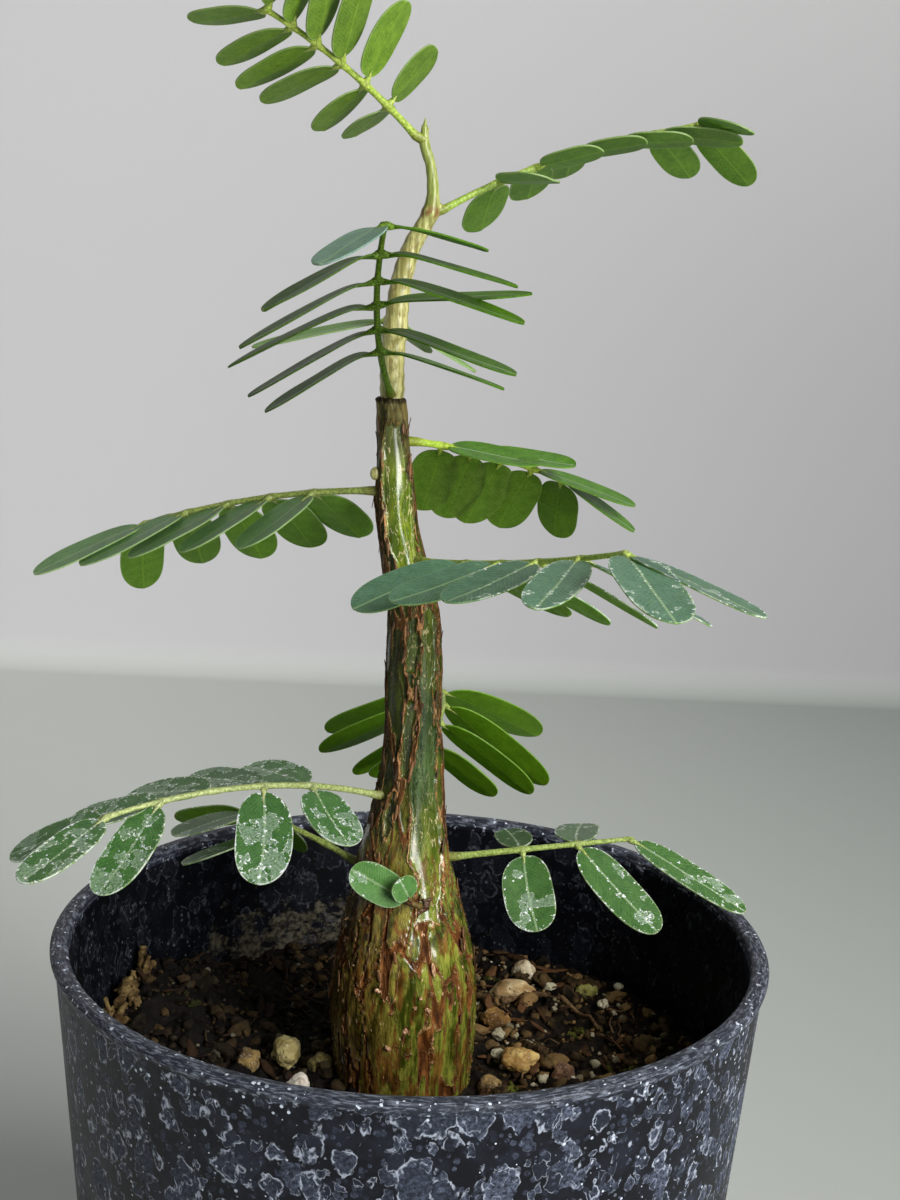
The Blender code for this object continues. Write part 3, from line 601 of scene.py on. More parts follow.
def barkAt(height, angle, radius):  # how far the surface moves, and what the bark's colours go by
    plan = stemPlan
    up = smooth(4, 20, height)
    foot = smooth(plan["buriedBelow"] - 2, plan["buriedBelow"] + 4, height)

    def between(name):
        return plan[name][0] + (plan[name][1] - plan[name][0]) * up

    around = Vector((math.cos(angle), math.sin(angle), 0)) * radius / mm
    sway = noise.noise_vector(Vector((around.x * 0.3, around.y * 0.3, height * 0.16))) * (0.7 + 0.5 * up)
    across = 1 / between("braidWidth")
    tall = across / between("braidStretch")
    spot = Vector(((around.x + sway.x) * across, (around.y + sway.y) * across, height * tall))
    uneven = 0.65 + 0.7 * noise.noise(Vector((around.x * 0.25, around.y * 0.25, height * 0.2 + 9)))
    share = between("stripShare")
    strip = 1 - abs(noise.noise(spot)) / (share * (0.3 + uneven))
    second = 1 - abs(noise.noise(spot * 1.25 + Vector((7, 3, 5)))) / (share * 0.62 * (0.3 + uneven))
    strip = max(-2, strip, second)
    window, wax = windowAt(height, angle, radius)
    bare = smooth(-0.1, 0.25, window)
    rise = between("stripRise") * smooth(0.0, 0.55, strip)
    rise += plan["lip"] * math.exp(-(strip / 0.3) ** 2)
    swell = 0.3 * noise.noise(Vector((around.x * 0.5, around.y * 0.5, height * 0.12)))
    fine = 0.07 * noise.noise(Vector((around.x * 2.4, around.y * 2.4, height * 0.6)))
    edge = plan["lip"] * 1.3 * math.exp(-((window + 0.1) / 0.16) ** 2)
    rise *= 1 - 0.7 * smooth(58, 63, height)
    relief = (rise + fine) * (1 - bare) + swell * 0.7 - plan["windowDepth"] * bare + edge - between("settle")
    top = plan["oldWood"][-1][0]
    frill = 0.1 + 0.5 * noise.noise(around * 1.6 + Vector((0, 0, 4)))
    relief += smooth(top - 0.9, top - 0.3, height) * frill - 0.25 * smooth(top - 0.25, top, height)
    return relief * foot * mm, strip, window, wax


def makeBark():
    material, tree, shader = newFinish("fissuredBark")
    place = objectPlace(tree)
    x, _, z = axes(tree, place)
    strip, window, wax = (attribute(tree, name) for name in ("strip", "window", "wax"))

    def drawnOut(share, size, detail=3, rough=0.6):  # blotches that are drawn out along the stem
        return blotches(tree, objectPlace(tree, (1, 1, share)), size, detail, rough)

    def upwards(low, high, *ends):  # a change with the height above the rim, in mm
        return span(tree, z, rimHeight + low * mm, rimHeight + high * mm, *ends)

    wander = drawnOut(0.3, 0.9)
    streaks = drawnOut(0.16, 0.42)
    patches = drawnOut(0.3, 1.5, 3, 0.62)
    rustPatches = drawnOut(0.24, 1.1, 3, 0.62)
    broad = drawnOut(0.4, 3.5, 2, 0.5)
    flecks = blotches(tree, place, 0.5, 3, 0.6)
    mixed = span(tree, plus(tree, times(tree, patches, 0.65), times(tree, streaks, 0.35)), 0.38, 0.64)
    upTrunk = upwards(8, 22)
    nearTop = upwards(61, 66)

    def mottle(darker, lighter):
        return mixColour(tree, mixed, darker, lighter)

    # the skin between the strips, browner and darker on the left: partly its own colour, partly painted
    # shade
    lean = plus(tree, calc(tree, "DIVIDE", x, 0.006), times(tree, upTrunk, 0.3),
                times(tree, minus(tree, broad, 0.5), 2.4))
    leftSide = span(tree, lean, -1.1, 0.4, 1, 0)
    olive = mottle((50, 42, 8), (136, 116, 52))
    green = mixColour(tree, leftSide, mottle((46, 56, 6), (136, 140, 54)), olive)
    rust = times(tree, span(tree, rustPatches, 0.5, 0.57), 0.8)
    green = mixColour(tree, rust, green, mottle((66, 36, 12), (126, 80, 36)))
    upper = mixColour(tree, leftSide, mottle((34, 48, 4), (78, 90, 22)), mottle((34, 36, 8), (70, 66, 24)))
    plate = mixColour(tree, upTrunk, green, upper)

    # the brown strips, their dark middles and peeling edges
    bark = mixColour(tree, upTrunk, mottle((72, 38, 10), (136, 84, 38)), mottle((50, 32, 10), (112, 74, 36)))
    frayed = plus(tree, strip, times(tree, minus(tree, wander, 0.5), 1.8))
    colour = mixColour(tree, span(tree, frayed, -0.05, 0.2), plate, bark)
    # the strips' dark middles: partly the fissures' own dark brown, partly painted shade in the cracks
    deep = times(tree, span(tree, frayed, 0.35, 0.85), span(tree, upTrunk, 0, 1, 0.55, 0.4))
    colour = mixColour(tree, deep, colour, (38, 20, 8))
    peel = times(tree, line(tree, frayed, 0.02, 0.24), span(tree, flecks, 0.42, 0.54))
    colour = mixColour(tree, times(tree, peel, 0.85), colour, (194, 146, 100))
    chips = span(tree, drawnOut(0.45, 0.85, 2, 0.5), 0.7, 0.72)
    colour = mixColour(tree, times(tree, chips, 0.8), colour, (206, 166, 130))

    # the bare tissue of the windows
    tissue = mottle((76, 100, 2), (136, 152, 34))
    tissue = mixColour(tree, upwards(46, 52, 1, 0), tissue, mottle((46, 62, 4), (86, 98, 26)))
    tissue = mixColour(tree, times(tree, nearTop, 0.8), tissue, mottle((46, 56, 22), (92, 98, 54)))
    lowDown = upwards(10, 18, 1, 0)
    tissue = mixColour(tree, lowDown, tissue, mottle((74, 90, 10), (126, 136, 40)))
    stained = times(tree, lowDown, span(tree, rustPatches, 0.47, 0.58))
    tissue = mixColour(tree, stained, tissue, (104, 78, 30))
    tissue = mixColour(tree, wax, tissue, mottle((38, 58, 18), (72, 94, 44)))
    # painted shade: the bare tissue is darker on the left
    tissue = mixColour(tree, times(tree, leftSide, 0.5), tissue, (44, 54, 12))
    lace = blotches(tree, warped(tree, objectPlace(tree, (1, 1, 0.35)), 1, 0.6), 1.1, 2)
    threads = times(tree, line(tree, lace, 0.5, 0.03), span(tree, flecks, 0.42, 0.52))
    tissue = mixColour(tree, times(tree, threads, span(tree, wax, 0, 1, 0.8, 0.25)), tissue, (204, 192, 140))
    torn = plus(tree, window, times(tree, minus(tree, flecks, 0.5), 0.6))
    peeled = span(tree, torn, 0.0, 0.08)
    colour = mixColour(tree, peeled, colour, tissue)
    edge = times(tree, line(tree, torn, -0.1, 0.24), span(tree, wander, 0.42, 0.58))
    colour = mixColour(tree, times(tree, edge, 0.9), colour, (190, 138, 92))

    # the top of the old wood, and the dark ring under the new shoot
    topShare = times(tree, nearTop, 0.8, span(tree, peeled, 0, 1, 1, 0.1))
    colour = mixColour(tree, topShare, colour, mottle((50, 48, 20), (124, 114, 66)))
    colour = mixColour(tree, times(tree, upwards(70.4, 70.9), 0.8), colour, (36, 22, 12))

    # bare skin is smooth and glossy, and bark is rough
    smoothSkin = larger(tree, peeled, times(tree, span(tree, frayed, -0.2, 0.1, 1, 0), 0.85))
    dryTrunk = times(tree, upTrunk, span(tree, peeled, 0, 1, 0.8, 0))
    dull = larger(tree, topShare, times(tree, wax, 0.45))
    coat = times(tree, smoothSkin, minus(tree, 1, dryTrunk), minus(tree, 1, dull))
    gloss = plus(tree, span(tree, smoothSkin, 0, 1, 0.55, 0.14), times(tree, flecks, 0.14))
    setSockets(tree, shader, Base_Color=colour, Roughness=gloss, Coat_Weight=coat,
               Specular_IOR_Level=0.15, Coat_Roughness=0.15)
    rough = plus(tree, times(tree, streaks, 0.7), times(tree, wander, 0.7))
    relief = plus(tree, times(tree, rough, span(tree, smoothSkin, 0, 1, 1, 0.3)),
                  times(tree, larger(tree, peel, edge), 0.5),
                  times(tree, flecks, 0.3), times(tree, threads, 0.2))
    addBump(tree, shader, relief, 0.45, 0.85)
    return material


def makeShootSkin():
    material, tree, shader = newFinish("youngShoot")
    z = axes(tree, objectPlace(tree))[2]
    streaks = blotches(tree, objectPlace(tree, (1, 1, 0.1)), 0.5, 3, 0.6)
    flecks = blotches(tree, objectPlace(tree, (1, 1, 0.4)), 0.6, 3, 0.65)
    streaked = span(tree, streaks, 0.35, 0.65)
    tan = mixColour(tree, streaked, (124, 120, 62), (188, 184, 122))
    young = mixColour(tree, streaked, (112, 126, 50), (160, 168, 92))
    colour = mixColour(tree, span(tree, z, rimHeight + 90 * mm, rimHeight + 98 * mm), tan, young)
    browned = times(tree, span(tree, flecks, 0.54, 0.66),
                    span(tree, z, rimHeight + 90 * mm, rimHeight + 97 * mm, 0.6, 0.25))
    colour = mixColour(tree, browned, colour, (112, 82, 48))
    knot = times(tree, line(tree, z, rimHeight + 94.1 * mm, 1.1 * mm), span(tree, flecks, 0.4, 0.52), 0.8)
    colour = mixColour(tree, knot, colour, (116, 66, 40))
    setSockets(tree, shader, Base_Color=colour, Roughness=0.36)
    addBump(tree, shader, streaks, 0.12, 0.6)
    return material


def addBuds(bm, marks):
    for height, bearing, size in stemPlan["buds"]:
        place = stemSurface(height, bearing)
        lump = bmesh.ops.create_icosphere(bm, subdivisions=3, radius=size * mm / 2)["verts"]
        bmesh.ops.scale(bm, vec=(1, 0.85, 1.3), verts=lump)
        bmesh.ops.translate(bm, vec=place, verts=lump)
        for layer, value in marks:
            for vert in lump:
                vert[layer] = value
    tip, _ = stemAt(stemPlan["newShoot"], stemPlan["newShoot"][-1][0] * mm)
    for lean, bearing, length, drop in stemPlan["tipScales"]:
        heading = Matrix.Rotation(bearing, 3, "Z") @ Vector((math.sin(lean), 0, math.cos(lean)))
        start = tip + Vector((0, 0, -drop * mm))
        places = [start + heading * length * mm * i / 5 for i in range(6)]
        sweepTube(bm, places, [0.34 * mm * (1 - (i / 5) ** 1.6) + 0.02 * mm for i in range(6)], 10, marks)


def makeSlivers():  # thin flakes that lift off the bark, and the small corky dots
    chance = random.Random(17)
    bm = bmesh.new()
    tone = bm.verts.layers.float.new("tone")
    count = 0
    while count < stemPlan["slivers"]:
        height, bearing = chance.uniform(-24, 68), chance.uniform(-180, 180)
        middle, radius = stemAt(stemPlan["oldWood"], height * mm)
        angle = math.radians(bearing)
        relief, strip, window, _ = barkAt(height, angle, radius)
        if window > 0.15 or (abs(strip - 0.1) > 0.3 and abs(window + 0.1) > 0.2):
            continue
        count += 1
        out = Vector((math.cos(angle), math.sin(angle), 0))
        onTrunk = smooth(4, 16, height)
        long, wide = chance.uniform(0.7, 2.6) * mm, chance.uniform(0.14, 0.4) * (1 - 0.45 * onTrunk) * mm
        made = bmesh.ops.create_grid(bm, x_segments=7, y_segments=2, size=1)["verts"]
        faces = list({face for vert in made for face in vert.link_faces})
        lift = chance.uniform(0.03, 0.28) * mm
        for vert in made:
            t = (vert.co.x + 1) / 2
            half = wide * math.sin(math.pi * (0.08 + 0.84 * t)) ** 0.6
            vert.co = (long * (t - 0.5), half * vert.co.y, lift * t * t)
        grown = bmesh.ops.extrude_face_region(bm, geom=faces)["geom"]
        upper = [item for item in grown if isinstance(item, bmesh.types.BMVert)]
        bmesh.ops.translate(bm, vec=(0, 0, 0.07 * mm), verts=upper)
        up = Matrix.Rotation(chance.uniform(-0.3, 0.3), 3, out) @ Vector((0, 0, chance.choice((-1, 1))))
        turn = Matrix((up, out.cross(up), out)).transposed().to_4x4()
        place = Vector((middle.x, 0, rimHeight + height * mm)) + out * (radius + relief - 0.02 * mm)
        bmesh.ops.transform(bm, matrix=Matrix.Translation(place) @ turn, verts=made + upper)
        shade = chance.random() ** 1.5 * (1 - 0.45 * onTrunk)
        for vert in made + upper:
            vert[tone] = shade
    spots = [(*spot, 0.85) for spot in stemPlan["corkDots"]]
    spots += [(*spot, 0.04) for spot in stemPlan["sproutScar"]]
    spots += [(chance.uniform(-22, 4), chance.uniform(-20, 210), chance.uniform(0.4, 0.8), 0.8)
              for _ in range(stemPlan["backDots"])]
    for height, bearing, size, shade in spots:
        middle, radius = stemAt(stemPlan["oldWood"], height * mm)
        angle = math.radians(bearing)
        place = Vector((middle.x, 0, rimHeight + height * mm))
        place += Vector((math.cos(angle), math.sin(angle), 0)) * (radius + barkAt(height, angle, radius)[0])
        wide, tall = size * chance.uniform(0.8, 1.2), size * chance.uniform(0.5, 0.9)
        for vert in addLump(bm, place, (wide * mm, 0.6 * size * mm, tall * mm), chance, 0.9, 3):
            vert[tone] = shade
    bmesh.ops.recalc_face_normals(bm, faces=bm.faces)
    material, tree, shader = newFinish("barkSliver")
    grain = span(tree, blotches(tree, objectPlace(tree, (1, 1, 0.3)), 0.25, 2), 0.35, 0.65)
    share = plus(tree, times(tree, attribute(tree, "tone"), 0.8), times(tree, grain, 0.2))
    colour = mixColour(tree, span(tree, share, 0, 0.55), (58, 38, 20), (132, 92, 58))
    colour = mixColour(tree, span(tree, share, 0.62, 1), colour, (224, 180, 146))
    setSockets(tree, shader, Base_Color=colour, Roughness=0.5)
    finishPiece("bark_slivers", bm, [material])
    print("slivers made:", count)


def makeStem():
    plan = stemPlan
    bm = bmesh.new()
    layers = [bm.verts.layers.float.new(name) for name in ("strip", "window", "wax")]
    shoot = plan["shoot"]
    rows = plan["newShoot"]
    low, high = rows[0][0] * mm, rows[-1][0] * mm
    places, radii = [], []
    for i in range(shoot["rings"] + 1):
        middle, radius = stemAt(rows, low + (high - low) * i / shoot["rings"])
        height = (middle.z - rimHeight) / mm
        swell = sum(more * math.exp(-((height - joint) / wide) ** 2)
                    for joint, wide, more in plan["shootJoints"])
        places.append(middle)
        radii.append(radius * (1 + swell + 0.03 * math.sin(i * 0.9)))
    marks = [(layers[0], shoot["mark"]), (layers[1], -1), (layers[2], 0)]
    sweepTube(bm, places, radii, shoot["sides"], marks)
    addBuds(bm, marks)
    rows = plan["oldWood"]
    low, top = rows[0][0] * mm, rows[-1][0] * mm
    buried = plan["buriedBelow"] * mm
    heights = [low + (buried - low) * i / 14 for i in range(14)]
    heights += [buried + (top - buried) * i / plan["rings"] for i in range(plan["rings"] + 1)]
    profile = [(0, heights[0] - 0.4 * mm)]
    profile += [(stemAt(rows, height)[1], height) for height in heights]
    profile += [(0.6 * stemAt(rows, top)[1], top + 0.12 * mm), (0, top + 0.14 * mm)]
    spinProfile(bm, profile, plan["sides"])
    for vert in bm.verts:
        if vert[layers[0]] == shoot["mark"]:
            continue
        height = vert.co.z
        middle, radius = stemAt(rows, height)
        angle = math.atan2(vert.co.y, vert.co.x)
        relief, *found = barkAt(height / mm, angle, radius)
        out = Vector((vert.co.x, vert.co.y, 0))
        for layer, value in zip(layers, found):
            vert[layer] = value
        if out.length > 0.5 * radius:
            out += out.normalized() * max(relief, -0.3 * radius)
        vert.co = Vector((middle.x, 0, rimHeight + height)) + out
    for face in bm.faces:
        if face.verts[0][layers[0]] == shoot["mark"]:
            face.material_index = 1
    bmesh.ops.recalc_face_normals(bm, faces=bm.faces)
    finishPiece("senna_stem", bm, [makeBark(), makeShootSkin()], ["stem"])
    print("stem made")


# the leaves: the same plan as the solids, in mm and degrees
leafPlan = {
    "leaf_top": {
        "height": 102.6, "bearing": 180, "azimuth": (215, 227), "rise": (40, 19), "length": 26.5,
        "bare": 0.23, "pairs": 6, "roll": 45, "leaflet": (9, 12.5, 12), "width": (6.6, 5.8, 5.7),
        "left": {"yaw": (91, 54, 70), "droop": (-29, 2, 7), "twist": (40, 36)},
        "right": {"yaw": (111, 92, 87), "droop": (-29, -18, -39), "twist": (42, 12)},
        "turned": {("right", 1): (8, 0), ("right", 2): (-8, 0), ("right", 4): (8, 0)},
    },
    "leaf_right_high": {
        "height": 94.1, "bearing": 10, "azimuth": (33, 3), "rise": (27, 12), "length": 36.3,
        "bare": 0.25, "pairs": 6, "roll": 2, "leaflet": (9.4, 9.7, 12.8), "width": (6.6, 5.2, 5.3),
        "left": {"yaw": (98, 79, 40), "droop": (42, 25, 44), "twist": (4, -14)},
        "right": {"yaw": (71, 25, 55), "droop": (2, 5, 9), "twist": (32, 28)},
        "turned": {("left", 1): (-10, 0), ("left", 4): (-6, 6), ("right", 1): (0, -5), ("right", 3): (0, 5),
                   ("right", 4): (-16, 9)},
        "missing": (("left", 3),), "size": {("left", 2): (0.8, 0.9), ("right", 5): (0.72, 1)},
    },
    "leaf_front_high": {
        "height": 71.7, "bearing": -95, "azimuth": (-99, -81), "rise": (32, 36), "length": 38,
        # painted light: light shines through the left leaflets, and the last on the right has a painted sky
        # reflection
        "arch": 0.045, "paintedLight": "left", "paintedReflection": ("right", 5),
        "bare": 0.305, "pairs": 6, "roll": 15, "leaflet": (15.5, 17.5, 12.5), "width": (6.4, 6, 5.4),
        "left": {"yaw": (104, 83, 112), "droop": (24, 36, 12), "twist": (35, 41)},
        "right": {"yaw": (99, 102, 61), "droop": (15, 11, 31), "twist": (38, 33)},
        "turned": {("left", 2): (-2, -24), ("right", 2): (2, -6)}, "size": {("right", 2): (1.05, 1)},
    },
    "leaf_left_mid": {
        "height": 59.3, "bearing": 185, "azimuth": (160, 172), "rise": (-5, -20), "length": 32,
        "bare": 0.26, "pairs": 5, "roll": -11, "leaflet": (13.4, 15, 16.2), "width": (7.2, 6.6, 6),
        "left": {"yaw": (61, 37, 34), "droop": (13, 8, -1), "twist": (8, -5)},
        "right": {"yaw": (99, 80, 50), "droop": (46, 49, 44), "twist": (5, -20)},
        "turned": {("right", 3): (0, -5)},
    },
    "leaf_right_mid": {
        "height": 65.7, "bearing": 20, "azimuth": (12, 8), "rise": (-6, -20), "length": 20.4,
        "bare": 0.2, "pairs": 5, "roll": 1, "leaflet": (12.8, 13.4, 12.2), "width": (6.4, 6.6, 5.9),
        "left": {"yaw": (86, 93, 62), "droop": (51, 51, 42), "twist": (0, 0)},
        "right": {"yaw": (22, 16, 20), "droop": (-2, -7, 12), "twist": (-12, -6)},
        "turned": {("left", 1): (-6, -1), ("left", 3): (5, 1)},
        "missing": (("right", 2),), "size": {("right", 3): (1.08, 1), ("right", 4): (0.95, 0.9)},
    },
    "leaf_front_right": {
        "height": 50.8, "bearing": -40, "azimuth": (-61, -56), "rise": (9, 15.5), "length": 43.4,
        "bare": 0.27, "pairs": 5, "roll": -3, "leaflet": (16, 15.5, 18),
        "left": {"yaw": (89, 59, 19), "droop": (25, 31, 26), "twist": (-6, 0)},
        "right": {"yaw": (92, 77, 22), "droop": (19, 16, 26), "twist": (28, 5)},
        "size": {("right", 4): (1, 1.25)},
    },
    "leaf_left_low": {
        "height": 19.5, "bearing": 215, "azimuth": (217, 206), "rise": (21, -13), "length": 38,
        "bare": 0.29, "pairs": 5, "roll": -2, "leaflet": (11, 13.8, 13.9), "width": (7, 6.7, 6.2),
        "left": {"yaw": (95, 45, 25), "droop": (23, 39, 7), "twist": (6, -6)},
        "right": {"yaw": (70, 59, 32), "droop": (5, 15, 17), "twist": (14, 8)},
        "missing": (("left", 2),), "size": {("left", 1): (1.12, 1.02)},
    },
    "leaf_right_low": {
        "height": 10.9, "bearing": -10, "azimuth": (0, 9), "rise": (9, 5), "length": 24,
        "bare": 0.4, "pairs": 3, "roll": 11, "leaflet": (11.2, 16, 17.8),
        "left": {"yaw": (97, 77, 45), "droop": (17, 22, 20), "twist": (0, 0)},
        "right": {"yaw": (86, 53, 36), "droop": (35, 27, 22), "twist": (-8, -2)},
        "missing": (("left", 2),),
        "size": {("left", 0): (1, 0.7), ("right", 0): (1.03, 1), ("right", 2): (1, 0.88)},
    },
    "leaf_back": {
        "height": 21.0, "bearing": 88, "azimuth": (70, 96), "rise": (18, -4), "length": 28,
        "bare": 0.23, "pairs": 4, "roll": 0, "leaflet": (12.6, 18.4, 19.8), "width": (6.6, 6.6, 8),
        "left": {"yaw": (68, 74, 66), "droop": (42, 38, 24), "twist": (24, 32)},
        "right": {"yaw": (70, 71, 63), "droop": (45, 44, 25), "twist": (45, 30)},
        "turned": {("left", 2): (0, -6), ("right", 1): (0, -5)},
        "size": {("left", 2): (1.1, 1.1), ("right", 1): (1.08, 1), ("right", 2): (1.12, 1.1)},
    },
    "leaf_left_back": {
        "height": 8.8, "bearing": 172, "azimuth": (161, 175), "rise": (25, 14), "length": 16,
        "bare": 0.31, "pairs": 3, "roll": 19, "leaflet": (11, 16, 13.6),
        "left": {"yaw": (59, 42, 54), "droop": (33, 35, 23), "twist": (24, 6)},
        "right": {"yaw": (70, 40, 38), "droop": (30, 5, 19), "twist": (-23, -18)},
        "turned": {("right", 1): (45, 8)}, "missing": (("left", 0), ("right", 0)),
    },
    "leaf_young": {
        "height": 79.7, "bearing": 100, "azimuth": (109, 94), "rise": (14, 0), "length": 6.2,
        "bare": 0.3, "pairs": 3, "roll": 5, "leaflet": (7.8, 13, 9), "width": (5, 4.4, 4),
        "left": {"yaw": (82, 90, 35), "droop": (28, 18, 10), "twist": (4, -9)},
        "right": {"yaw": (63, 107, 35), "droop": (29, 21, 20), "twist": (2, 12)},
        "missing": (("left", 0), ("left", 2)),
        "size": {("left", 1): (1.35, 1), ("right", 1): (1, 1.15), ("right", 2): (0.9, 0.7)},
    },
    "leaf_sprout": {
        "height": 6.0, "bearing": -72, "azimuth": (-155, -155), "rise": (27, 27), "length": 1.5,
        "ribRadius": (0.3, 0.24), "bare": 1, "pairs": 1, "roll": -74, "leaflet": 9.1, "width": 4.8,
        "left": {"yaw": -10, "droop": 18, "twist": -20},
        "right": {"yaw": 29, "droop": -20, "twist": 12},
        "size": {("right", 0): (0.52, 0.76)},
    },
}
leafletPlan = {
    "width": (6.6, 6.0, 5.5),
    "stalk": 1.0,
    "thickness": 0.2,
    "pathSteps": 24,
    "ribRadius": (0.45, 0.31),
    "along": 26,
    "across": 10,
    "blunt": 3.1,       # how square the outline's ends are
    "fold": 0.03,       # how far the two halves rise from the rib, as a share of the width
    "arch": 0.012,      # how far the blade bows along its length
    "groove": 0.07,
}
leafMarks = ("along", "across", "rim", "under", "rib", "chance", "paintedLight", "foot")   # what the skin goes by


def leafHeading(leaf, share):
    azimuth = math.radians(blendThrough(leaf["azimuth"], share))
    rise = math.radians(blendThrough(leaf["rise"], share))
    ahead = Vector((math.cos(azimuth) * math.cos(rise), math.sin(azimuth) * math.cos(rise), math.sin(rise)))
    left = Vector((-math.sin(azimuth), math.cos(azimuth), 0))
    turn = Matrix.Rotation(math.radians(leaf["roll"]), 3, ahead)
    return ahead, turn @ left, turn @ ahead.cross(left)


def leafPath(leaf):
    steps = leafletPlan["pathSteps"]
    points = [stemSurface(leaf["height"], leaf["bearing"])]
    for i in range(steps):
        points.append(points[-1] + leafHeading(leaf, (i + 0.5) / steps)[0] * leaf["length"] * mm / steps)
    return points


def pointAlong(points, share):
    place = share * (len(points) - 1)
    before = min(int(place), len(points) - 2)
    return points[before].lerp(points[before + 1], place - before)


def leafletPlaces(leaf):
    points = leafPath(leaf)
    for i in range(leaf["pairs"]):
        t = i / (leaf["pairs"] - 1) if leaf["pairs"] > 1 else 0
        share = leaf["bare"] + (1 - leaf["bare"]) * t
        ahead, left, up = leafHeading(leaf, share)
        for side, sign in (("left", 1), ("right", -1)):
            if (side, i) in leaf.get("missing", ()):
                continue
            moreYaw, moreDroop = leaf.get("turned", {}).get((side, i), (0, 0))
            yaw = math.radians(blendThrough(leaf[side]["yaw"], t) + moreYaw)
            droop = math.radians(blendThrough(leaf[side]["droop"], t) + moreDroop)
            twist = math.radians(blendThrough(leaf[side]["twist"], t))
            flat = ahead * math.cos(yaw) + left * sign * math.sin(yaw)
            lower = Matrix.Rotation(-droop, 3, flat.cross(up))
            along = lower @ flat
            normal = Matrix.Rotation(twist * sign, 3, along) @ (lower @ up)
            turn = Matrix((along, normal.cross(along), normal)).transposed().to_4x4()
            longer, wider = leaf.get("size", {}).get((side, i), (1, 1))
            length = blendThrough(leaf["leaflet"], t) * longer * mm
            width = blendThrough(leaf.get("width", leafletPlan["width"]), t) * wider * mm
            # 0 for a plain leaflet, 1 for one with painted light shining through it, 2 for one with a
            # painted sky reflection
            tone = 2 if leaf.get("paintedReflection") == (side, i) else int(leaf.get("paintedLight") == side)
            yield Matrix.Translation(pointAlong(points, share)) @ turn, length, width, tone


def addLeaflet(bm, layers, placeMatrix, length, width, chance, leaf, paintedLight):
    plan = leafletPlan
    stalk = plan["stalk"] * mm
    blade = length - stalk
    thick = plan["thickness"] * mm
    made = bmesh.ops.create_grid(bm, x_segments=plan["along"], y_segments=plan["across"], size=1)["verts"]
    faces = list({face for vert in made for face in vert.link_faces})
    curl = chance.uniform(0.6, 1.4)
    arch = leaf.get("arch", plan["arch"]) * curl * length
    wave = chance.uniform(0, 40)
    bluntTip = plan["blunt"] * chance.uniform(0.92, 1.1)
    lean = chance.uniform(-0.03, 0.03)
    for vert in made:
        u, v = vert.co.x, vert.co.y
        t = (1 - math.cos(math.pi * (u + 1) / 2)) / 2     # closer rows at both ends
        full = (1 - abs(2 * t - 1) ** bluntTip) ** (1 / 2.1) if 0 < t < 1 else 0
        half = 0.5 * width * full * (0.93 + 0.07 * math.sin(math.pi * t * 0.9))
        side = math.copysign(abs(v) ** 0.9, v)
        ripple = noise.noise(Vector((t * 2.2, v * 1.2, wave))) * 0.022 * width
        rise = plan["fold"] * curl * width * abs(side) ** 1.4 * full
        bow = arch * (1 - t) * (1 - math.exp(-t / 0.09))
        groove = plan["groove"] * mm * math.exp(-(side * half / (0.22 * mm)) ** 2) * (full > 0.3)
        vert[layers["along"]] = t
        vert[layers["across"]] = side * half / mm
        vert[layers["rim"]] = min((1 - abs(side)) * half, t * blade, (1 - t) * blade) / mm
        vert.co = (stalk + blade * t, side * half + lean * blade * math.sin(math.pi * t),
                   rise + bow + ripple - groove)
    raised = bmesh.ops.extrude_face_region(bm, geom=faces)["geom"]
    upper = [item for item in raised if isinstance(item, bmesh.types.BMVert)]
    bmesh.ops.translate(bm, vec=(0, 0, thick / 2), verts=upper)
    bmesh.ops.translate(bm, vec=(0, 0, -thick / 2), verts=made)
    for vert in made:
        vert[layers["under"]] = 1
    verts = made + upper
    for vert in verts:
        vert[layers["rib"]] = 0
        vert[layers["paintedLight"]] = paintedLight
        vert[layers["chance"]] = wave / 40
    bmesh.ops.transform(bm, matrix=placeMatrix, verts=verts)
    marks = [(layers["rib"], 1), (layers["chance"], wave / 40)]
    lift = placeMatrix @ Vector((0, 0, 0))
    tip = placeMatrix @ Vector((stalk + 0.12 * blade, 0, arch * 0.6))
    neck = placeMatrix @ Vector((stalk * 0.7, 0, 0))
    knob = 0.5 * mm * min(1, width / (5 * mm))
    stalkPlaces = [lift, lift.lerp(neck, 0.5), neck, neck.lerp(tip, 0.35), tip]
    sweepTube(bm, stalkPlaces, [knob * 0.9, knob, knob * 0.82, knob * 0.5, knob * 0.12], 8, marks)


